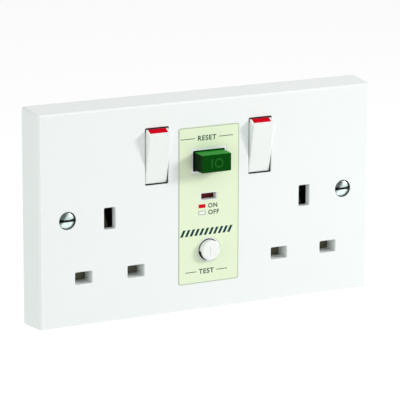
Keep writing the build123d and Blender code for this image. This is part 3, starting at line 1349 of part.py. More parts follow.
# Rear housing: an open box screwed on from behind, narrow above to clear the box lugs
wide_zs = (-housing_half_height, housing_wide_top)
inside = (-housing_floor, deck_back)
bore_way_play = 1.6
driver_way_play = 0.5
bore_way_radius = terminal_bore_radius + bore_way_play
driver_way_radius = terminal_head_radius + driver_way_play
switch_pad_radius = 1.8
board_post_radius = 1.5
board_post_inset = 2.2
rib_gap = 0.4
rib_near = carrier_half_width + rib_gap
rib_thickness = 1.2
rib_inset = 1.0
rib_front = strip_heights[0] - strip_thickness - contact_gap
with BuildPart() as rear_housing:
    slab((-housing_half_width, housing_half_width), (-housing_half_height, housing_half_height),
         (housing_back, deck_back))
    slab((-housing_wide_half_width, housing_wide_half_width), wide_zs, (housing_back, deck_back))
    slab((-inner_half_width, inner_half_width), (-inner_half_height, inner_half_height), inside,
         Mode.SUBTRACT)
    slab((-inner_wide_half_width, inner_wide_half_width),
         (-inner_half_height, housing_wide_top - housing_wall), inside, Mode.SUBTRACT)
    for x, z in housing_screws:
        peg(x, z, housing_column_radius, inside)
        peg(x, z, housing_screw_radius + housing_screw_play, (housing_back, deck_back), Mode.SUBTRACT)
    # ways in for the screwdriver and the conductors
    for x, z in terminal_places:
        peg(x, z, driver_way_radius, (housing_back, -housing_floor), Mode.SUBTRACT)
    for sign in (-1, 1):
        upright(sign * line_terminal_x, terminal_bore_height, bore_way_radius,
                (inner_half_height, housing_half_height), Mode.SUBTRACT)
        upright(sign * earth_terminal_x, terminal_bore_height, bore_way_radius,
                (-housing_half_height, -inner_half_height), Mode.SUBTRACT)
        # pads under the clips, the strap, the switch contacts and the board
        outlet_x = sign * outlet_offset
        slab((outlet_x - strap_branch_width / 2, outlet_x + strap_branch_width / 2),
             (earth_height - clip_tab_half, earth_height + clip_tab_half),
             (-housing_floor, strap_heights[0]))
        for pin in (-1, 1):
            x = outlet_x + pin * half_pitch
            slab((x - clip_tab_half, x + clip_tab_half), (line_z - clip_tab_half, line_z + clip_tab_half),
                 (-housing_floor, clip_base))
        peg(sign * rocker_offset, button_z, switch_pad_radius, (-housing_floor, fixed_strip[0]))
        slab(sorted((sign * (rocker_offset - seesaw_width), sign * rocker_offset)),
             (rocker_centre_z - seesaw_width / 2, rocker_centre_z + seesaw_width / 2),
             (-housing_floor, bracket_foot))
        for z in (board_bottom + board_post_inset, board_top - board_post_inset):
            peg(sign * (board_half_width - board_post_inset), z, board_post_radius,
                (-housing_floor, board_front - board_thickness))
        # posts beside the contact carrier, clear of the strap
        rib = sorted((sign * rib_near, sign * (rib_near + rib_thickness)))
        slab(rib, (carrier_bottom + rib_inset, strap_zs[0] - gap), (-housing_floor, rib_front))
        slab(rib, (strap_zs[1] + gap, carrier_top - rib_inset), (-housing_floor, rib_front))
rear_housing.part.label = "rear_housing"
export_step(rear_housing.part, "parts/rear_housing.step")

# Screws that hold the housing, the deck and the plate together
screw_head_back = housing_back - housing_screw_head_height
thread_spare = 2.0
with BuildPart() as housing_fasteners:
    for x, z in housing_screws:
        peg(x, z, housing_screw_radius, (housing_back, deck_back + housing_screw_engagement - thread_spare))
        peg(x, z, housing_screw_head_radius, (screw_head_back, housing_back))
        slab((x - housing_screw_head_radius, x + housing_screw_head_radius),
             (z - screw_slot_width / 2, z + screw_slot_width / 2),
             (screw_head_back, screw_head_back + screw_slot_depth), Mode.SUBTRACT)
housing_fasteners.part.label = "housing_screws"
export_step(housing_fasteners.part, "parts/housing_screws.step")
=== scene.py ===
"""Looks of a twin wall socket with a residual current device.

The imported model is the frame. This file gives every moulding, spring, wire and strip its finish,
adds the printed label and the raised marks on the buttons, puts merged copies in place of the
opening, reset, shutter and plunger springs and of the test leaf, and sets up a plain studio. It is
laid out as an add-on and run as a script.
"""

import math

import bmesh
import bpy
import numpy as np
from mathutils import Matrix, Vector


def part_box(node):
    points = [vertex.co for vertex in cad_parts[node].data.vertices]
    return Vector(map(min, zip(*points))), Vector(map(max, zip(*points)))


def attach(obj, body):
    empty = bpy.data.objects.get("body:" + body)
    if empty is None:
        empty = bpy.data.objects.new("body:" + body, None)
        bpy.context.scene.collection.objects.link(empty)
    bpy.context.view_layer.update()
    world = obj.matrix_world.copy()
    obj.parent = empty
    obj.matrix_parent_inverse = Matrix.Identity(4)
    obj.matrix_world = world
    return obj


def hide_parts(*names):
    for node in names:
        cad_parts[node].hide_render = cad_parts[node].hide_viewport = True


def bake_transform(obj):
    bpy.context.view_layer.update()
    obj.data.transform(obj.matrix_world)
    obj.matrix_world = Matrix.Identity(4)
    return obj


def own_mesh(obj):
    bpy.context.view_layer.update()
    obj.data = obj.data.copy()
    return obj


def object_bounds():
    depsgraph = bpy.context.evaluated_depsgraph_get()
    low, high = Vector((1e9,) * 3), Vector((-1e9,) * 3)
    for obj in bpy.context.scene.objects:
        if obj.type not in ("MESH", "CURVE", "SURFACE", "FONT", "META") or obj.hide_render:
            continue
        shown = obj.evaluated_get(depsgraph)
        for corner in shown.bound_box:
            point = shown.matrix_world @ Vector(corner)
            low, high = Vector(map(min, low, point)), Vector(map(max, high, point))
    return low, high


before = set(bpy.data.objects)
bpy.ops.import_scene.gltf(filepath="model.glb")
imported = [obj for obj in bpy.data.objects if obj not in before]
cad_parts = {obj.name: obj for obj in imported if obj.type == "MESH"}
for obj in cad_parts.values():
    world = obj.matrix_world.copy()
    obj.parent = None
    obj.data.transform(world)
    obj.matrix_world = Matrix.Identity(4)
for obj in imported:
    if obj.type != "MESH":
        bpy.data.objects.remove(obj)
CAD_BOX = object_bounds()

bl_info = {
    "name": "Twin wall socket looks",
    "version": (1, 0, 0),
    "blender": (4, 5, 0),
    "location": "View3D > Sidebar > Socket",
    "description": "Finishes, printed label and studio for a twin wall socket",
    "category": "Object",
}

MM = 0.001
PLATE_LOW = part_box("front_plate")[0]
LABEL_LOW, LABEL_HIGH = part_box("label_panel")
RESET_LOW, RESET_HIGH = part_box("reset_button")
TEST_LOW, TEST_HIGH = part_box("test_button")
SCREW_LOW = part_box("fixing_screws")[0]
INK_THICKNESS = 0.03 * MM

# Places on the front, in millimetres from the plate's middle
SCREW_X = 60.3
ROCKER = (22.5, 21.45)
ROCKER_TOP_Z = 32.4
RESET = (0, 17.8)
TEST = (0, -18.1)
WORD_X = -1.0
RESET_WORD_Z = 26.8
TEST_WORD_Z = -26.6
ON_WORD = (1.7, -0.4)
OFF_WORD = (2.1, -3.1)
PATCH_X = -3.0
BAR_ROW_Z = -10.7
BAR_ROW_ENDS = (-11.3, 9.3)

# Shapes of the prints and marks, in millimetres
RULES = ((RESET_WORD_Z, 5.2, 11.4), (TEST_WORD_Z, 4.4, 9.2))
PATCH_HALF = (1.5, 0.75)
PATCH_CORNER = 0.1
PATCH_HOLE_CORNER = 0.08
PATCH_LINE = 0.12
BAR_COUNT = 11
BAR_HALF_WIDTH = 0.55
BAR_LEAN = 0.5
MARK_HALF_HEIGHT = 1.9
MARK_HALF_WIDTH = 0.3
MARK_CORNER = 0.15
RING_X = 0.9
RING_HOLE = 1.3
STROKE_X = -2.1
TEST_MARK_HALF = (0.28, 1.7)

# The studio: lengths in metres, the camera's sensor in millimetres
TARGET_Z = -1.509 * MM
SENSOR_WIDTH = 36.0
FLOOR_HALF = 4.0
FLOOR_GLOW = 0.4
KEY_PLACE = (0.95, -0.62, 0.42)
KEY_SIZE = 0.26
FILL_PLACE = (-1.1, -0.25, 0.1)
FILL_SIZE = 0.6
FILL_COLOUR = (0.9, 1.0, 0.92)


def srgb(red, green, blue):
    """Linear colour of an 8-bit display colour, by the standard curve."""
    values = np.array([red, green, blue]) / 255
    linear = np.where(values <= 0.04045, values / 12.92, ((values + 0.055) / 1.055) ** 2.4)
    return tuple(float(value) for value in linear)


def colour_property(name, description, shown):
    """A colour that the user can change, given as a display colour."""
    return bpy.props.FloatVectorProperty(
        name=name, description=description, subtype="COLOR", size=3, min=0, max=1, default=srgb(*shown))


def length_property(name, description, millimetres):
    """A length that the user can change, given in millimetres."""
    return bpy.props.FloatProperty(
        name=name, description=description, subtype="DISTANCE", unit="LENGTH", min=0,
        default=millimetres * MM, precision=5)


class SocketColours(bpy.types.PropertyGroup):
    """Colours of the mouldings, prints and metals."""
    plate: colour_property("Plate", "Glossy white of the plate and its surrounds", (242, 247, 245))
    rocker: colour_property("Rockers", "White of the rocker switches", (243, 247, 244))
    signal: colour_property("Signal red", "Red ends of the rockers and the ON patch", (214, 4, 30))
    # painted shade: the flag's red is darker than the signal red, for the shade of the window it sits behind
    flag_red: colour_property("Flag red", "Red half of the flag", (96, 8, 20))
    flag_white: colour_property("Flag white", "White half of the flag", (232, 234, 230))
    label: colour_property("Label", "Pale cream of the label panel", (232, 246, 212))
    outline: colour_property("Label outline", "Thin printed outline of the label", (172, 182, 168))
    ink: colour_property("Legend ink", "Printed words and rules", (34, 72, 60))
    bars: colour_property("Bars", "Printed row of slanted bars", (4, 60, 62))
    reset: colour_property("Reset button", "Green of the reset button", (2, 70, 6))
    reset_mark: colour_property("Reset mark", "Paler green of the worn mark", (18, 100, 24))
    test: colour_property("Test button", "White of the test button", (243, 248, 244))
    shutter: colour_property("Shutters", "Plastic behind the mouths", (102, 98, 82))
    housing: colour_property("Housing", "Matt grey of the rear housing", (206, 206, 200))
    mechanism: colour_property("Mechanism", "Black plastic of the deck and the parts inside", (22, 22, 24))
    brass: colour_property("Brass", "Clips, strips and terminals", (214, 176, 104))
    nickel: colour_property("Nickel", "Plated box screws", (222, 240, 236))
    steel: colour_property("Steel", "Zinc plated screws, pins and springs", (186, 188, 184))
    copper: colour_property("Enamelled copper", "Wire of the windings", (150, 66, 26))
    core: colour_property("Core", "Ring of the current sensor", (58, 58, 60))
    board: colour_property("Board", "Solder mask of the circuit board", (20, 92, 46))
    live: colour_property("Live wire", "Insulation of the live wire", (104, 58, 32))
    neutral: colour_property("Neutral wire", "Insulation of the neutral wire", (30, 72, 150))


class SocketSizes(bpy.types.PropertyGroup):
    """Sizes of the printed and raised details, and of the test leaf."""
    letter_height: length_property("Letters", "Height of the legend letters", 1.9)
    small_letter_height: length_property("Small letters", "Height of the words under the window", 1.75)
    outline_width: length_property("Outline", "Width of the line round the label", 0.22)
    outline_inset: length_property("Outline inset", "Distance of that line from the label's edge", 0.12)
    rule_width: length_property("Rules", "Width of the printed rules beside the words", 0.26)
    bar_height: length_property("Bars", "Height of the slanted bars", 2.7)
    mark_height: length_property("Raised marks", "How far the marks stand out of the buttons", 0.16)
    leaf_foot: length_property("Leaf foot", "Part of the test leaf that stays on the deck", 4.0)
    leaf_pressed: length_property("Leaf stem", "Half width of the part that the test stem presses", 0.9)


class SocketStudio(bpy.types.PropertyGroup):
    """Camera, lamps and floor."""
    yaw: bpy.props.FloatProperty(
        name="Yaw", description="Turn of the camera to the left of the plate", subtype="ANGLE",
        default=math.radians(27.245))
    pitch: bpy.props.FloatProperty(
        name="Pitch", description="Tilt of the camera downwards", subtype="ANGLE",
        default=math.radians(13.706))
    roll: bpy.props.FloatProperty(
        name="Roll", description="Turn of the camera about its view", subtype="ANGLE",
        default=math.radians(0.237))
    distance: length_property("Distance", "From the camera to its target", 1044.3)
    target_x: length_property("Target X", "Right of the plate's middle", 3.006)
    lens: bpy.props.FloatProperty(
        name="Lens", description="Focal length on a 36 mm frame", default=238.15, min=1)
    world: bpy.props.FloatProperty(
        name="Sky", description="Strength of the even light from all round", default=0.62, min=0)
    key: bpy.props.FloatProperty(
        name="Key lamp", description="Power of the soft lamp at the upper right", default=7.6, min=0)
    fill: bpy.props.FloatProperty(
        name="Fill lamp", description="Power of the weaker lamp at the left", default=2.1, min=0)
    floor_drop: length_property("Floor drop", "Floor below the plate's lower edge", 160)


# Meshes from arrays


def arrays_to_object(name, points, faces, material):
    """A mesh object from an array of points and one of four-cornered faces, at the origin."""
    mesh = bpy.data.meshes.new(name)
    points = np.asarray(points, dtype=np.float32).reshape(-1, 3)
    faces = np.asarray(faces, dtype=np.int32)
    sides = faces.shape[1]
    mesh.vertices.add(len(points))
    mesh.vertices.foreach_set("co", points.ravel())
    mesh.loops.add(faces.size)
    mesh.loops.foreach_set("vertex_index", faces.ravel())
    mesh.polygons.add(len(faces))
    mesh.polygons.foreach_set("loop_start", np.arange(0, faces.size, sides, dtype=np.int32))
    mesh.polygons.foreach_set("use_smooth", np.zeros(len(faces), dtype=bool))
    mesh.update(calc_edges=True)
    mesh.validate()
    mesh.materials.append(material)
    piece = bpy.data.objects.new(name, mesh)
    bpy.context.scene.collection.objects.link(piece)
    return piece


def closed_grid(rows, columns):
    """Faces of a grid that closes on itself both ways, as a torus does."""
    row, column = np.meshgrid(np.arange(rows), np.arange(columns), indexing="ij")
    next_row = (row + 1) % rows
    next_column = (column + 1) % columns
    corners = [row * columns + column, row * columns + next_column,
               next_row * columns + next_column, next_row * columns + column]
    return np.stack(corners, axis=-1).reshape(-1, 4)


def rounded_rectangle(half_width, half_height, radius, steps=8):
    """Outline of a rounded rectangle: each corner's centre plus its radius times (cos a, sin a),
    with a running through a quarter turn at each corner in order."""
    quarter = np.linspace(0, math.pi / 2, steps)
    angles = np.concatenate([quarter + corner * math.pi / 2 for corner in range(4)])
    sign_x = np.repeat([1, -1, -1, 1], steps)
    sign_y = np.repeat([1, 1, -1, -1], steps)
    x = sign_x * (half_width - radius) + radius * np.cos(angles)
    y = sign_y * (half_height - radius) + radius * np.sin(angles)
    return np.stack([x, y], axis=1)


def front_points(flat, middle_x, middle_z, depth):
    """Flat (x, z) points moved to a middle, at one depth: x, depth, z."""
    flat = np.asarray(flat)
    return np.stack([flat[:, 0] + middle_x, np.full(len(flat), depth), flat[:, 1] + middle_z], axis=1)


def band(name, outer, inner, middle, back, front, material):
    """A flat closed band between two outlines: the section's four corners, outer back, outer front,
    inner front and inner back, are the rows of a grid that closes both ways."""
    rows = [front_points(outer, *middle, back), front_points(outer, *middle, front),
            front_points(inner, *middle, front), front_points(inner, *middle, back)]
    faces = closed_grid(4, len(outer))[:, ::-1]
    return arrays_to_object(name, np.concatenate(rows), faces, material)


def prism(name, outline, middle, back, front, material):
    """A solid plate with one outline. The outline's points make a front and a back face, and each
    pair of neighbours makes a wall."""
    outline = np.asarray(outline)
    count = len(outline)
    points = np.concatenate([front_points(outline, *middle, back),
                             front_points(outline, *middle, front)])
    index = np.arange(count)
    walls = np.stack([index, (index + 1) % count, (index + 1) % count + count, index + count], axis=1)
    mesh = bpy.data.meshes.new(name)
    faces = [*walls.tolist(), index[::-1].tolist(), (index + count).tolist()]
    mesh.from_pydata(points.tolist(), [], faces)
    mesh.validate()
    mesh.materials.append(material)
    piece = bpy.data.objects.new(name, mesh)
    bpy.context.scene.collection.objects.link(piece)
    return piece


def joined(name, parts):
    """Several objects of one material as one, with their meshes added together."""
    mesh = bpy.data.meshes.new(name)
    mesh.materials.append(parts[0].data.materials[0])
    together = bmesh.new()
    for part in parts:
        together.from_mesh(part.data)
        bpy.data.objects.remove(part)
    together.to_mesh(mesh)
    together.free()
    piece = bpy.data.objects.new(name, mesh)
    bpy.context.scene.collection.objects.link(piece)
    return piece


def printed_words(name, words, height, middle_x, middle_z, depth, material, thickness=INK_THICKNESS):
    """Words as a thin raised print on a front face: the letters are made a mesh first, and then
    their x goes to X and their y to Z, with the print's front towards the viewer."""
    curve = bpy.data.curves.new(name, "FONT")
    curve.body = words
    curve.size = height / 0.7
    curve.align_x = "CENTER"
    curve.extrude = thickness
    curve.offset = height / 32
    curve.resolution_u = 4
    curve.space_character = 1.15
    source = bpy.data.objects.new(name + "_source", curve)
    bpy.context.scene.collection.objects.link(source)
    graph = bpy.context.evaluated_depsgraph_get()
    mesh = bpy.data.meshes.new_from_object(source.evaluated_get(graph))
    bpy.data.objects.remove(source)
    bpy.data.curves.remove(curve)
    mesh.name = name
    place = Matrix(((1, 0, 0, middle_x), (0, 0, -1, depth), (0, 1, 0, middle_z - height / 2), (0, 0, 0, 1)))
    mesh.transform(place)
    mesh.materials.clear()
    mesh.materials.append(material)
    piece = bpy.data.objects.new(name, mesh)
    bpy.context.scene.collection.objects.link(piece)
    return piece


# Shader groups


def new_group(name, inputs, outputs):
    """An empty shader node group with its named inputs and outputs."""
    group = bpy.data.node_groups.new(name, "ShaderNodeTree")
    for label, kind, value in inputs:
        socket = group.interface.new_socket(name=label, in_out="INPUT", socket_type=kind)
        socket.default_value = value
    for label, kind in outputs:
        group.interface.new_socket(name=label, in_out="OUTPUT", socket_type=kind)
    return group, group.nodes.new("NodeGroupInput"), group.nodes.new("NodeGroupOutput")


def math_node(group, operation, first, second):
    """A Math node fed by sockets or numbers."""
    node = group.nodes.new("ShaderNodeMath")
    node.operation = operation
    for socket, value in zip(node.inputs, (first, second)):
        if isinstance(value, bpy.types.NodeSocket):
            group.links.new(value, socket)
        else:
            socket.default_value = value
    return node.outputs[0]


def noise_node(group, vector, scale, detail=2.0, rough=0.5):
    """A Noise Texture's value on a vector, with a number or a socket for its scale."""
    node = group.nodes.new("ShaderNodeTexNoise")
    node.inputs["Detail"].default_value = detail
    node.inputs["Roughness"].default_value = rough
    group.links.new(vector, node.inputs["Vector"])
    if isinstance(scale, bpy.types.NodeSocket):
        group.links.new(scale, node.inputs["Scale"])
    else:
        node.inputs["Scale"].default_value = scale
    return node.outputs[0]


def tinted(group, colour, factor):
    """A colour made lighter or darker by a factor about 1."""
    node = group.nodes.new("ShaderNodeHueSaturation")
    group.links.new(colour, node.inputs["Color"])
    group.links.new(factor, node.inputs["Value"])
    return node.outputs["Color"]


def object_parts(group):
    """The X, Y and Z of the Object coordinates."""
    place = group.nodes.new("ShaderNodeTexCoord").outputs["Object"]
    parts = group.nodes.new("ShaderNodeSeparateXYZ")
    group.links.new(place, parts.inputs[0])
    return parts.outputs["X"], parts.outputs["Y"], parts.outputs["Z"]


def ramp_node(group, value, start, full):
    """A value's way from 0 at a start to 1 at a full distance, with sockets for both."""
    ramp = group.nodes.new("ShaderNodeMapRange")
    group.links.new(value, ramp.inputs["Value"])
    group.links.new(start, ramp.inputs["From Min"])
    group.links.new(full, ramp.inputs["From Max"])
    return ramp.outputs[0]


def toned(group, entry, leave, mask, factor):
    """Multiplies a group's colour by a factor where its mask is 1, and by 1 where it is 0."""
    change = math_node(group, "MULTIPLY", mask, math_node(group, "SUBTRACT", factor, 1.0))
    group.links.new(tinted(group, entry.outputs["Colour"], math_node(group, "ADD", change, 1.0)),
                    leave.inputs["Colour"])


def moulded_group():
    """Moulded plastic: tone that drifts with the flow of the melt, a fine grain, and uneven gloss."""
    found = bpy.data.node_groups.get("moulded_plastic")
    if found:
        return found
    group, entry, leave = new_group("moulded_plastic", [
        ("Colour", "NodeSocketColor", (1, 1, 1, 1)), ("Flow", "NodeSocketFloat", 0.01),
        ("Flow Scale", "NodeSocketFloat", 40.0), ("Grain Scale", "NodeSocketFloat", 2500.0),
        ("Roughness", "NodeSocketFloat", 0.2), ("Spread", "NodeSocketFloat", 0.05)],
        [("Colour", "NodeSocketColor"), ("Roughness", "NodeSocketFloat"), ("Height", "NodeSocketFloat")])
    place = group.nodes.new("ShaderNodeTexCoord").outputs["Object"]
    flow = noise_node(group, place, entry.outputs["Flow Scale"], 3.0)
    drift = math_node(group, "MULTIPLY", math_node(group, "SUBTRACT", flow, 0.5), entry.outputs["Flow"])
    factor = math_node(group, "ADD", math_node(group, "MULTIPLY", drift, 2.0), 1.0)
    group.links.new(tinted(group, entry.outputs["Colour"], factor), leave.inputs["Colour"])
    smear = noise_node(group, place, math_node(group, "MULTIPLY", entry.outputs["Flow Scale"], 4.0), 4.0)
    uneven = math_node(group, "MULTIPLY", math_node(group, "SUBTRACT", smear, 0.5), entry.outputs["Spread"])
    group.links.new(math_node(group, "ADD", entry.outputs["Roughness"], uneven), leave.inputs["Roughness"])
    grain = noise_node(group, place, entry.outputs["Grain Scale"], 3.0, 0.6)
    wave = noise_node(group, place, entry.outputs["Flow Scale"], 1.0)
    group.links.new(math_node(group, "ADD", grain, math_node(group, "MULTIPLY", wave, 3.0)),
                    leave.inputs["Height"])
    return group


def drawn_group():
    """Rolled, drawn or turned metal: a grain stretched along the work, with stains in patches."""
    found = bpy.data.node_groups.get("drawn_metal")
    if found:
        return found
    group, entry, leave = new_group("drawn_metal", [
        ("Colour", "NodeSocketColor", (1, 1, 1, 1)), ("Stain", "NodeSocketColor", (0.2, 0.1, 0.05, 1)),
        ("Stain Amount", "NodeSocketFloat", 0.2), ("Stain Scale", "NodeSocketFloat", 200.0),
        ("Stretch", "NodeSocketVector", (1, 1, 12)), ("Grain Scale", "NodeSocketFloat", 900.0),
        ("Roughness", "NodeSocketFloat", 0.3), ("Spread", "NodeSocketFloat", 0.15)],
        [("Colour", "NodeSocketColor"), ("Roughness", "NodeSocketFloat"), ("Height", "NodeSocketFloat")])
    place = group.nodes.new("ShaderNodeTexCoord").outputs["Object"]
    stretched = group.nodes.new("ShaderNodeVectorMath")
    stretched.operation = "MULTIPLY"
    group.links.new(place, stretched.inputs[0])
    group.links.new(entry.outputs["Stretch"], stretched.inputs[1])
    grain = noise_node(group, stretched.outputs[0], entry.outputs["Grain Scale"], 4.0, 0.6)
    patches = noise_node(group, place, entry.outputs["Stain Scale"], 5.0, 0.6)
    edge = group.nodes.new("ShaderNodeMapRange")
    edge.inputs["From Min"].default_value = 0.45
    edge.inputs["From Max"].default_value = 0.75
    group.links.new(patches, edge.inputs["Value"])
    amount = math_node(group, "MULTIPLY", edge.outputs[0], entry.outputs["Stain Amount"])
    blend = group.nodes.new("ShaderNodeMix")
    blend.data_type = "RGBA"
    group.links.new(amount, blend.inputs["Factor"])
    group.links.new(entry.outputs["Colour"], blend.inputs[6])
    group.links.new(entry.outputs["Stain"], blend.inputs[7])
    factor = math_node(group, "ADD", math_node(group, "MULTIPLY", grain, 0.16), 0.92)
    group.links.new(tinted(group, blend.outputs[2], factor), leave.inputs["Colour"])
    uneven = math_node(group, "MULTIPLY", math_node(group, "SUBTRACT", grain, 0.5), entry.outputs["Spread"])
    dull = math_node(group, "ADD", math_node(group, "MULTIPLY", amount, 0.3), uneven)
    group.links.new(math_node(group, "ADD", entry.outputs["Roughness"], dull), leave.inputs["Roughness"])
    group.links.new(grain, leave.inputs["Height"])
    return group


def recess_group():
    """Shade gathered in a recess. Inside a box across the front, mirrored left and right, the tone
    falls from full at a first depth behind the front to its least at a second depth."""
    found = bpy.data.node_groups.get("recess_shade")
    if found:
        return found
    group, entry, leave = new_group("recess_shade", [
        ("Colour", "NodeSocketColor", (1, 1, 1, 1)), ("Middle X", "NodeSocketFloat", 0.0),
        ("Middle Z", "NodeSocketFloat", 0.0), ("Reach X", "NodeSocketFloat", 0.01),
        ("Reach Z", "NodeSocketFloat", 0.01), ("Front", "NodeSocketFloat", 0.0),
        ("Start", "NodeSocketFloat", 0.0), ("Full", "NodeSocketFloat", 0.001),
        ("Least", "NodeSocketFloat", 0.1)], [("Colour", "NodeSocketColor")])
    x, y, z = object_parts(group)
    mirrored = math_node(group, "ABSOLUTE", x, 0.0)
    away_x = math_node(group, "SUBTRACT", mirrored, entry.outputs["Middle X"])
    inside_x = math_node(group, "LESS_THAN", math_node(group, "ABSOLUTE", away_x, 0.0),
                         entry.outputs["Reach X"])
    away_z = math_node(group, "SUBTRACT", z, entry.outputs["Middle Z"])
    inside_z = math_node(group, "LESS_THAN", math_node(group, "ABSOLUTE", away_z, 0.0),
                         entry.outputs["Reach Z"])
    inside = math_node(group, "MULTIPLY", inside_x, inside_z)
    behind = math_node(group, "SUBTRACT", y, entry.outputs["Front"])
    depth = ramp_node(group, behind, entry.outputs["Start"], entry.outputs["Full"])
    toned(group, entry, leave, math_node(group, "MULTIPLY", inside, depth), entry.outputs["Least"])
    return group


def painted_side_group():
    """A side of a piece in painted light or shade: past a distance along a direction across the front,
    the colour is multiplied by a factor, above 1 for a painted highlight and below 1 for painted shade.
    The direction starts at the middle or at a pair of middles."""
    found = bpy.data.node_groups.get("painted_side_tone")
    if found:
        return found
    group, entry, leave = new_group("painted_side_tone", [
        ("Colour", "NodeSocketColor", (1, 1, 1, 1)), ("Middle X", "NodeSocketFloat", 0.0),
        ("Along X", "NodeSocketFloat", 0.0), ("Along Z", "NodeSocketFloat", 1.0),
        ("Start", "NodeSocketFloat", 0.0), ("Full", "NodeSocketFloat", 0.001),
        ("Factor", "NodeSocketFloat", 1.0)], [("Colour", "NodeSocketColor")])
    x, _, z = object_parts(group)
    shift = math_node(group, "MULTIPLY", math_node(group, "SIGN", x, 0.0), entry.outputs["Middle X"])
    own_x = math_node(group, "SUBTRACT", x, shift)
    reach = math_node(group, "ADD", math_node(group, "MULTIPLY", own_x, entry.outputs["Along X"]),
                      math_node(group, "MULTIPLY", z, entry.outputs["Along Z"]))
    past = ramp_node(group, reach, entry.outputs["Start"], entry.outputs["Full"])
    toned(group, entry, leave, past, entry.outputs["Factor"])
    return group


def rim_highlight_group():
    """A painted highlight on the round edge of a front: past half the width or half the height of the flat
    part, and less than a depth behind the front, the colour is multiplied by a factor."""
    found = bpy.data.node_groups.get("rim_highlight")
    if found:
        return found
    group, entry, leave = new_group("rim_highlight", [
        ("Colour", "NodeSocketColor", (1, 1, 1, 1)), ("Half X", "NodeSocketFloat", 0.1),
        ("Half Z", "NodeSocketFloat", 0.1), ("Front", "NodeSocketFloat", 0.0),
        ("Depth", "NodeSocketFloat", 0.001), ("Factor", "NodeSocketFloat", 1.0)],
        [("Colour", "NodeSocketColor")])
    x, y, z = object_parts(group)
    past_x = math_node(group, "SUBTRACT", math_node(group, "ABSOLUTE", x, 0.0), entry.outputs["Half X"])
    past_z = math_node(group, "SUBTRACT", math_node(group, "ABSOLUTE", z, 0.0), entry.outputs["Half Z"])
    outside = math_node(group, "GREATER_THAN", math_node(group, "MAXIMUM", past_x, past_z), 0.0)
    behind = math_node(group, "SUBTRACT", y, entry.outputs["Front"])
    shallow = math_node(group, "LESS_THAN", behind, entry.outputs["Depth"])
    toned(group, entry, leave, math_node(group, "MULTIPLY", outside, shallow), entry.outputs["Factor"])
    return group


def rim(half, depth, factor):
    """The painted highlight on the plate's round front edge for a material: half its flat width and
    height, and how deep it goes, in millimetres."""
    return rim_highlight_group, {"Half X": half[0] * MM, "Half Z": half[1] * MM, "Front": PLATE_LOW.y,
                       "Depth": depth * MM, "Factor": factor}


def recess(middle, reach, depths, least, front=PLATE_LOW.y):
    """One recess for a material: the middle and half size of its box across the front, and the
    depths behind the front at which its shade starts and is full, in millimetres."""
    return recess_group, {
        "Middle X": middle[0] * MM, "Middle Z": middle[1] * MM, "Reach X": reach[0] * MM,
        "Reach Z": reach[1] * MM, "Front": front, "Start": depths[0] * MM, "Full": depths[1] * MM,
        "Least": least}


def side(along, distances, factor, middle_x=0.0):
    """One side in painted light or shade for a material: its direction across the front, and the
    distances that way at which the painted tone starts and is full, in millimetres."""
    return painted_side_group, {"Middle X": middle_x * MM, "Along X": along[0], "Along Z": along[1],
                        "Start": distances[0] * MM, "Full": distances[1] * MM, "Factor": factor}


def finished(name, group, inputs, bump_depth, tones=(), **sockets):
    """A material whose shader takes colour, roughness and bump from a group, its colour through the
    painted shade of its recesses, the painted light and shade of its sides and the painted highlight of
    its rim, and its even values from its own sockets."""
    material = bpy.data.materials.new(name)
    material.use_nodes = True
    tree = material.node_tree
    shader = tree.nodes["Principled BSDF"]
    node = tree.nodes.new("ShaderNodeGroup")
    node.node_tree = group
    for label, value in inputs.items():
        socket = node.inputs[label]
        if socket.type == "RGBA":
            socket.default_value = (*value, 1.0)
        else:
            socket.default_value = value
    colour = node.outputs["Colour"]
    for make, values in tones:
        tone = tree.nodes.new("ShaderNodeGroup")
        tone.node_tree = make()
        for label, value in values.items():
            tone.inputs[label].default_value = value
        tree.links.new(colour, tone.inputs["Colour"])
        colour = tone.outputs["Colour"]
    tree.links.new(colour, shader.inputs["Base Color"])
    tree.links.new(node.outputs["Roughness"], shader.inputs["Roughness"])
    bump = tree.nodes.new("ShaderNodeBump")
    bump.inputs["Strength"].default_value = 1.0
    bump.inputs["Distance"].default_value = bump_depth
    tree.links.new(node.outputs["Height"], bump.inputs["Height"])
    tree.links.new(bump.outputs["Normal"], shader.inputs["Normal"])
    for label, value in sockets.items():
        shader.inputs[label.replace("_", " ").title().replace("Ior", "IOR")].default_value = value
    return material


def plastic(name, colour, roughness, spread=0.04, flow=0.012, grain=2600.0, depth=0.6e-6, **sockets):
    """A moulded plastic."""
    inputs = {"Colour": colour, "Flow": flow, "Roughness": roughness, "Spread": spread,
              "Grain Scale": grain}
    return finished(name, moulded_group(), inputs, depth, **sockets)


def metal(name, colour, stain, amount, roughness, stretch=(1, 1, 12), spread=0.15, patches=200.0,
          depth=1.5e-6, **sockets):
    """A rolled, drawn or turned metal."""
    inputs = {"Colour": colour, "Stain": stain, "Stain Amount": amount, "Stain Scale": patches,
              "Roughness": roughness, "Stretch": stretch, "Spread": spread}
    return finished(name, drawn_group(), inputs, depth, metallic=1.0, **sockets)


def finish_nodes(material, *nodes):
    """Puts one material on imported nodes."""
    for name in nodes:
        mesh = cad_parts[name].data
        mesh.materials.clear()
        mesh.materials.append(material)


# Springs and leaves as merged copies


def yielding(node, material):
    """A copy of a packed spring or leaf that stands for it, with its corners merged."""
    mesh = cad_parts[node].data.copy()
    mesh.materials.clear()
    mesh.materials.append(material)
    merged = bmesh.new()
    merged.from_mesh(mesh)
    bmesh.ops.remove_doubles(merged, verts=merged.verts, dist=0.001 * MM)
    merged.to_mesh(mesh)
    merged.free()
    piece = bpy.data.objects.new(node + "_shape", mesh)
    bpy.context.scene.collection.objects.link(piece)
    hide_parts(node)
    return piece


def pressed_spring(node, body, material):
    """A spring that a sliding joint presses: a merged copy of it rides a body, with a mesh of its own."""
    piece = yielding(node, material)
    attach(piece, body)
    points = np.empty(3 * len(piece.data.vertices), dtype=np.float32)
    piece.data.vertices.foreach_get("co", points)
    points = points.reshape(-1, 3).astype(float)
    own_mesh(piece)
    return piece


# Operators


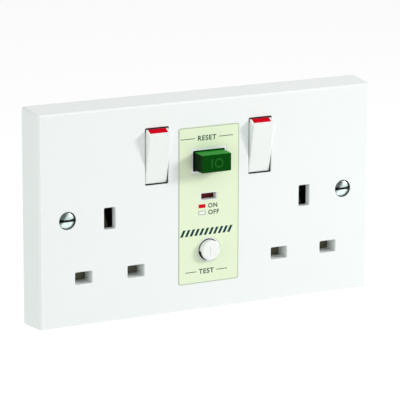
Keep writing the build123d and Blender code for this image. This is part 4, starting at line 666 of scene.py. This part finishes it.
class SOCKET_OT_mouldings(bpy.types.Operator):
    """Finish the plate, the shutters, the deck and the rear housing"""
    bl_idname = "socket.mouldings"
    bl_label = "Mouldings"

    def execute(self, context):
        colours = context.scene.socket_colours
        # painted shade: the plate darkens deep inside its mouths and in the gaps round the rockers, the
        # rocker tops, the buttons and the screw heads; painted highlight: a lighter band on its round front
        # edge
        tones = (recess(middle=(0, 0), reach=(70, 40), depths=(4.0, 9.0), least=0.6),
                 recess(middle=ROCKER, reach=(5.6, 12.0), depths=(0.3, 1.0), least=0.02),
                 recess(middle=(ROCKER[0], ROCKER_TOP_Z), reach=(5.6, 1.1), depths=(0.0, 0.3), least=0.02),
                 recess(middle=RESET, reach=(7.4, 4.6), depths=(0.05, 0.6), least=0.02),
                 recess(middle=TEST, reach=(4.8, 4.8), depths=(0.05, 0.6), least=0.02),
                 recess(middle=(SCREW_X, 0), reach=(3.8, 3.8), depths=(0.1, 0.8), least=0.06),
                 rim(half=(71.1, 41.1), depth=0.8, factor=1.07))
        finish_nodes(plastic("plate_gloss", colours.plate, 0.16, tones=tones, ior=1.52), "front_plate")
        finish_nodes(plastic("shutter_satin", colours.shutter, 0.45), "left_shutter", "right_shutter")
        finish_nodes(plastic("housing_matt", colours.housing, 0.5, grain=1500.0, depth=4e-6),
                     "rear_housing")
        finish_nodes(plastic("deck_dark", colours.mechanism, 0.5), "inner_deck")
        return {"FINISHED"}


class SOCKET_OT_switches(bpy.types.Operator):
    """Finish the rockers, their red ends and their plungers"""
    bl_idname = "socket.switches"
    bl_label = "Switches"

    def execute(self, context):
        colours = context.scene.socket_colours
        # painted shade: the rocker darkens at its top end, where it goes in behind the plate's front
        top = [recess(middle=(ROCKER[0], 33), reach=(6, 2.2), depths=(-0.1, 0.3), least=0.03)]
        finish_nodes(plastic("rocker_gloss", colours.rocker, 0.2, tones=top), "left_rocker", "right_rocker")
        finish_nodes(plastic("signal_red", colours.signal, 0.45, specular_ior_level=0.02),
                     "left_rocker_red_inlay", "right_rocker_red_inlay")
        finish_nodes(plastic("plunger_black", colours.mechanism, 0.35), "left_rocker_plunger",
                     "right_rocker_plunger")
        return {"FINISHED"}


class SOCKET_OT_buttons(bpy.types.Operator):
    """Finish the two buttons and raise a plain mark on each"""
    bl_idname = "socket.buttons"
    bl_label = "Buttons"

    def execute(self, context):
        colours = context.scene.socket_colours
        sizes = context.scene.socket_sizes
        # painted highlight makes the reset button paler on top; painted shade darkens its left side and
        # where it meets the plate
        tones = (side(along=(0, 1), distances=(21.1, 21.3), factor=4.4),
                 side(along=(-1, 0), distances=(6.3, 6.4), factor=0.2),
                 recess(middle=RESET, reach=(10, 10), depths=(-0.4, 0.0), least=0.02))
        green = plastic("reset_green", colours.reset, 0.28, spread=0.06, tones=tones,
                        specular_ior_level=0.04)
        # painted shade darkens the test button's wall below, and where it meets the plate
        tones = (recess(middle=(0, -21.9), reach=(10, 3.6), depths=(-2.0, -1.2), least=0.03),
                 recess(middle=TEST, reach=(10, 10), depths=(-0.3, 0.1), least=0.05))
        white = plastic("test_white", colours.test, 0.25, tones=tones)
        finish_nodes(green, "reset_button")
        finish_nodes(white, "test_button")
        # reset: a raised bar beside a raised ring
        middle_z = (RESET_LOW.z + RESET_HIGH.z) / 2
        front = RESET_LOW.y
        half_height, corner = MARK_HALF_HEIGHT * MM, MARK_CORNER * MM
        ring = band("reset_ring", rounded_rectangle(half_height, half_height, half_height),
                    rounded_rectangle(RING_HOLE * MM, RING_HOLE * MM, RING_HOLE * MM),
                    (RING_X * MM, middle_z), front, front - sizes.mark_height, green)
        stroke = prism("reset_stroke", rounded_rectangle(MARK_HALF_WIDTH * MM, half_height, corner),
                       (STROKE_X * MM, middle_z), front, front - sizes.mark_height, green)
        mark = joined("reset_mark", [ring, stroke])
        mark.data.materials[0] = plastic("reset_mark_green", colours.reset_mark, 0.3, specular_ior_level=0.1)
        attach(mark, "reset_body")
        # test: one raised bar
        middle_z = (TEST_LOW.z + TEST_HIGH.z) / 2
        outline = rounded_rectangle(TEST_MARK_HALF[0] * MM, TEST_MARK_HALF[1] * MM, corner)
        stroke = prism("test_mark", outline, (0, middle_z), TEST_LOW.y, TEST_LOW.y - sizes.mark_height,
                       white)
        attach(stroke, "test_body")
        return {"FINISHED"}


class SOCKET_OT_label(bpy.types.Operator):
    """Finish the label panel and print its outline, words, rules, patches and bars"""
    bl_idname = "socket.label"
    bl_label = "Label"

    def execute(self, context):
        colours = context.scene.socket_colours
        sizes = context.scene.socket_sizes
        paper = plastic("label_cream", colours.label, 0.38, flow=0.02)
        finish_nodes(paper, "label_panel")
        ink = plastic("legend_ink", colours.ink, 0.45, flow=0.12, specular_ior_level=0.2)
        outline_ink = plastic("outline_ink", colours.outline, 0.45, flow=0.05)
        bar_ink = plastic("bar_ink", colours.bars, 0.4, flow=0.1, specular_ior_level=0.15)
        back = LABEL_LOW.y
        front = back - INK_THICKNESS
        middle = (0.0, (LABEL_LOW.z + LABEL_HIGH.z) / 2)
        half_x = (LABEL_HIGH.x - LABEL_LOW.x) / 2 - sizes.outline_inset
        half_z = (LABEL_HIGH.z - LABEL_LOW.z) / 2 - sizes.outline_inset
        line = sizes.outline_width
        outline = band("label_outline", rounded_rectangle(half_x, half_z, 1.0 * MM),
                       rounded_rectangle(half_x - line, half_z - line, 0.8 * MM), middle, back, front,
                       outline_ink)
        pieces = [(outline, "label_cream")]
        height = sizes.letter_height
        small = sizes.small_letter_height
        for name, words, size, (x, z) in (
                ("reset_legend", "RESET", height, (WORD_X, RESET_WORD_Z)),
                ("on_legend", "ON", small, ON_WORD), ("off_legend", "OFF", small, OFF_WORD),
                ("test_legend", "TEST", height, (WORD_X, TEST_WORD_Z))):
            pieces.append((printed_words(name, words, size, x * MM, z * MM, back, ink), "label_cream"))
        # rules on both sides of the longer words
        rules = []
        for z, start, end in RULES:
            for way in (-1, 1):
                x = (way * (end + start) / 2 + WORD_X) * MM
                outline_points = rounded_rectangle((end - start) / 2 * MM, sizes.rule_width / 2,
                                                   sizes.rule_width / 4)
                rules.append(prism("rule", outline_points, (x, z * MM), back, front, ink))
        pieces.append((joined("legend_rules", rules), "label_cream"))
        # patches that say which colour means on and off
        half_x, half_z = PATCH_HALF
        patch = rounded_rectangle(half_x * MM, half_z * MM, PATCH_CORNER * MM)
        red = plastic("patch_red", colours.signal, 0.4, specular_ior_level=0.1)
        white = plastic("patch_white", colours.test, 0.4)
        for name, z, material, slot in (("on_patch", ON_WORD[1], red, "signal_red"),
                                        ("off_patch", OFF_WORD[1], white, "test_white")):
            pieces.append((prism(name, patch, (PATCH_X * MM, z * MM), back, front, material), slot))
        inner = rounded_rectangle((half_x - PATCH_LINE) * MM, (half_z - PATCH_LINE) * MM,
                                  PATCH_HOLE_CORNER * MM)
        pieces.append((band("off_patch_frame", patch, inner, (PATCH_X * MM, OFF_WORD[1] * MM), back,
                            front - INK_THICKNESS, ink), "label_cream"))
        # a row of slanted bars
        bars = []
        lean = BAR_LEAN * sizes.bar_height
        half = BAR_HALF_WIDTH * MM
        top = sizes.bar_height / 2
        shape = [(-half - lean / 2, -top), (half - lean / 2, -top), (half + lean / 2, top),
                 (-half + lean / 2, top)]
        for place in np.linspace(*BAR_ROW_ENDS, BAR_COUNT):
            bars.append(prism("bar", shape, (place * MM, BAR_ROW_Z * MM), back, front, bar_ink))
        pieces.append((joined("label_bars", bars), "label_cream"))
        for piece, slot in pieces:
            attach(piece, "fixed")
        return {"FINISHED"}


class SOCKET_OT_flag(bpy.types.Operator):
    """Finish the two-coloured flag behind the window"""
    bl_idname = "socket.flag"
    bl_label = "Flag"

    def execute(self, context):
        colours = context.scene.socket_colours
        finish_nodes(plastic("flag_white", colours.flag_white, 0.4), "flag_indicator")
        # painted shade: the flag's red is darkened for the shade of the window it sits behind
        finish_nodes(plastic("flag_red", colours.flag_red, 0.4, specular_ior_level=0.2), "flag_red_face")
        return {"FINISHED"}


class SOCKET_OT_conductors(bpy.types.Operator):
    """Finish the clips, busbars, strips, straps and terminals"""
    bl_idname = "socket.conductors"
    bl_label = "Conductors"

    def execute(self, context):
        colours = context.scene.socket_colours
        stain = srgb(120, 78, 40)
        rolled = metal("rolled_brass", colours.brass, stain, 0.35, 0.26, stretch=(14, 1, 1))
        turned = metal("drilled_brass", colours.brass, stain, 0.2, 0.32, stretch=(1, 1, 10))
        finish_nodes(rolled, "live_clips", "neutral_clips", "earth_clips", "earth_strap", "neutral_busbar",
                     "live_busbar", "feed_strips", "pivot_brackets", "left_seesaw_contact",
                     "right_seesaw_contact", "left_switched_strip", "right_switched_strip",
                     "live_contact_bridge", "neutral_contact_bridge", "test_contact")
        # the test leaf, which the button's stem presses, gets a merged copy
        leaf = yielding("test_leaf", rolled)
        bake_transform(leaf)
        finish_nodes(turned, "supply_terminals", "earth_terminals")
        return {"FINISHED"}


class SOCKET_OT_fasteners(bpy.types.Operator):
    """Finish the screws, pins and springs"""
    bl_idname = "socket.fasteners"
    bl_label = "Screws, pins and springs"

    def execute(self, context):
        colours = context.scene.socket_colours
        stain = srgb(110, 112, 108)
        # painted shade darkens each screw head's slot; painted reflection darkens the upper left of each
        # head, and the blue-grey stain patches on the plated nickel are painted reflection too
        slot = recess(middle=(SCREW_X, 0), reach=(3.4, 0.6), depths=(0.05, 0.35), least=0.03,
                      front=SCREW_LOW.y)
        painted_reflection = side(along=(-0.8, 0.6), distances=(0.7, 1.9), factor=0.16, middle_x=SCREW_X)
        plated = metal("plated_nickel", colours.nickel, srgb(70, 96, 98), 0.5, 0.16, stretch=(3, 3, 3),
                       spread=0.1, patches=650.0, tones=(slot, painted_reflection))
        zinc = metal("zinc_plate", colours.steel, srgb(150, 146, 120), 0.4, 0.3, stretch=(2, 2, 2))
        wire = metal("spring_wire", colours.steel, stain, 0.2, 0.22, stretch=(1, 1, 1))
        finish_nodes(plated, "fixing_screws")
        finish_nodes(zinc, "terminal_screws", "housing_screws", "guide_pins", "lever_pins")
        finish_nodes(wire, "contact_springs")
        # the opening springs, which get longer as the contact carrier leaves the deck, get a merged copy
        opening = yielding("opening_springs", wire)
        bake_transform(opening)
        pressed_spring("reset_spring", "fixed", wire)
        for hand in ("left", "right"):
            pressed_spring(f"{hand}_shutter_spring", "fixed", wire)
            pressed_spring(f"{hand}_plunger_spring", f"{hand}_rocker_body", wire)
        return {"FINISHED"}


class SOCKET_OT_trip_unit(bpy.types.Operator):
    """Finish the carrier, levers, solenoid and sensing core"""
    bl_idname = "socket.trip_unit"
    bl_label = "Trip unit"

    def execute(self, context):
        colours = context.scene.socket_colours
        finish_nodes(plastic("mechanism_black", colours.mechanism, 0.38), "contact_carrier", "latch_lever",
                     "reset_lever", "solenoid_bobbin")
        finish_nodes(metal("yoke_steel", colours.steel, srgb(120, 110, 90), 0.3, 0.34), "solenoid_yoke",
                     "solenoid_plunger")
        finish_nodes(plastic("core_coating", colours.core, 0.55, depth=5e-6), "sensing_core")
        enamel = metal("enamelled_copper", colours.copper, srgb(90, 34, 12), 0.3, 0.3, coat_weight=0.5)
        finish_nodes(enamel, "solenoid_winding", "sensing_winding")
        return {"FINISHED"}


class SOCKET_OT_electronics(bpy.types.Operator):
    """Finish the circuit board and its components"""
    bl_idname = "socket.electronics"
    bl_label = "Circuit board"

    def execute(self, context):
        colours = context.scene.socket_colours
        finish_nodes(plastic("solder_mask", colours.board, 0.3, flow=0.1, depth=4e-6), "circuit_board")
        finish_nodes(plastic("component_resin", colours.mechanism, 0.45), "board_components")
        finish_nodes(plastic("capacitor_sleeve", srgb(24, 28, 62), 0.3), "board_capacitor")
        return {"FINISHED"}


class SOCKET_OT_wires(bpy.types.Operator):
    """Finish the two insulated supply wires"""
    bl_idname = "socket.wires"
    bl_label = "Supply wires"

    def execute(self, context):
        colours = context.scene.socket_colours
        finish_nodes(plastic("live_insulation", colours.live, 0.42), "live_wire")
        finish_nodes(plastic("neutral_insulation", colours.neutral, 0.42), "neutral_wire")
        return {"FINISHED"}


def seen_ray(tree):
    """1 for what the camera sees, also through glass or in gloss, and 0 for the rest."""
    path = tree.nodes.new("ShaderNodeLightPath")
    seen = math_node(tree, "MAXIMUM", path.outputs["Is Camera Ray"], path.outputs["Is Glossy Ray"])
    return math_node(tree, "MAXIMUM", seen, path.outputs["Is Transmission Ray"])


def area_lamp(name, place, size, power, colour=(1.0, 1.0, 1.0)):
    """A square soft lamp that points at the plate's middle."""
    lamp = bpy.data.lights.new(name, "AREA")
    lamp.size = size
    lamp.energy = power
    lamp.color = colour
    holder = bpy.data.objects.new(name, lamp)
    holder.location = place
    holder.rotation_euler = (-Vector(place)).to_track_quat("-Z", "Y").to_euler()
    bpy.context.scene.collection.objects.link(holder)


class SOCKET_OT_stage(bpy.types.Operator):
    """Set up the camera, the lamps, the sky and the pale floor"""
    bl_idname = "socket.stage"
    bl_label = "Studio"

    def execute(self, context):
        studio = context.scene.socket_studio
        scene = context.scene
        # camera: the view direction from yaw and pitch, then a turn about it
        yaw, pitch, roll = studio.yaw, studio.pitch, studio.roll
        forward = Vector((math.sin(yaw) * math.cos(pitch), math.cos(yaw) * math.cos(pitch),
                          -math.sin(pitch)))
        level = Vector((math.cos(yaw), -math.sin(yaw), 0.0))
        upward = level.cross(forward)
        right = math.cos(roll) * level + math.sin(roll) * upward
        upward = math.cos(roll) * upward - math.sin(roll) * level
        target = Vector((studio.target_x, 0.0, TARGET_Z))
        place = target - studio.distance * forward
        lens = bpy.data.cameras.new("photograph_camera")
        lens.lens = studio.lens
        lens.sensor_width = SENSOR_WIDTH
        lens.clip_start = 0.05
        lens.clip_end = 20.0
        camera = bpy.data.objects.new("photograph_camera", lens)
        turn = Matrix((right, upward, -forward)).transposed().to_4x4()
        camera.matrix_world = Matrix.Translation(place) @ turn
        scene.collection.objects.link(camera)
        scene.camera = camera
        # floor
        half = FLOOR_HALF
        level_z = CAD_BOX[0][2] - studio.floor_drop
        points = [(-half, -half, level_z), (half, -half, level_z), (half, half, level_z),
                  (-half, half, level_z)]
        material = bpy.data.materials.new("pale_floor")
        material.use_nodes = True
        tree = material.node_tree
        shader = tree.nodes["Principled BSDF"]
        shader.inputs["Base Color"].default_value = (0.86, 0.86, 0.86, 1)
        shader.inputs["Roughness"].default_value = 0.9
        shader.inputs["Specular IOR Level"].default_value = 0.0
        shader.inputs["Emission Color"].default_value = (1, 1, 1, 1)
        tree.links.new(math_node(tree, "MULTIPLY", seen_ray(tree), FLOOR_GLOW),
                       shader.inputs["Emission Strength"])
        floor = arrays_to_object("floor", points, [[0, 1, 2, 3]], material)
        # sky: even light, and plain white where the camera, glass and gloss see it
        world = bpy.data.worlds.new("even_sky")
        scene.world = world
        world.use_nodes = True
        tree = world.node_tree
        sky = tree.nodes["Background"]
        sky.inputs["Color"].default_value = (1, 1, 1, 1)
        extra = math_node(tree, "MULTIPLY", seen_ray(tree), 1.0 - studio.world)
        tree.links.new(math_node(tree, "ADD", extra, studio.world), sky.inputs["Strength"])
        # lamps
        area_lamp("key_lamp", KEY_PLACE, KEY_SIZE, studio.key)
        area_lamp("fill_lamp", FILL_PLACE, FILL_SIZE, studio.fill, FILL_COLOUR)
        return {"FINISHED"}


class SOCKET_PT_looks(bpy.types.Panel):
    """Panel that lists the steps"""
    bl_idname = "SOCKET_PT_looks"
    bl_label = "Twin wall socket"
    bl_space_type = "VIEW_3D"
    bl_region_type = "UI"
    bl_category = "Socket"

    def draw(self, context):
        for operator in OPERATORS:
            self.layout.operator(operator.bl_idname)
        for group in (context.scene.socket_colours, context.scene.socket_sizes, context.scene.socket_studio):
            box = self.layout.box()
            for name in group.__annotations__:
                box.prop(group, name)


OPERATORS = (SOCKET_OT_mouldings, SOCKET_OT_switches, SOCKET_OT_buttons, SOCKET_OT_label, SOCKET_OT_flag,
             SOCKET_OT_conductors, SOCKET_OT_fasteners, SOCKET_OT_trip_unit, SOCKET_OT_electronics,
             SOCKET_OT_wires, SOCKET_OT_stage)
CLASSES = (SocketColours, SocketSizes, SocketStudio, *OPERATORS, SOCKET_PT_looks)


def register():
    for cls in CLASSES:
        bpy.utils.register_class(cls)
    bpy.types.Scene.socket_colours = bpy.props.PointerProperty(type=SocketColours)
    bpy.types.Scene.socket_sizes = bpy.props.PointerProperty(type=SocketSizes)
    bpy.types.Scene.socket_studio = bpy.props.PointerProperty(type=SocketStudio)


def unregister():
    del bpy.types.Scene.socket_studio
    del bpy.types.Scene.socket_sizes
    del bpy.types.Scene.socket_colours
    for cls in reversed(CLASSES):
        bpy.utils.unregister_class(cls)


def main():
    """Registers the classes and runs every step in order."""
    register()
    bpy.context.scene.view_settings.view_transform = "Standard"
    for operator in OPERATORS:
        family, step = operator.bl_idname.split(".")
        getattr(getattr(bpy.ops, family), step)()


if __name__ == "__main__":
    main()
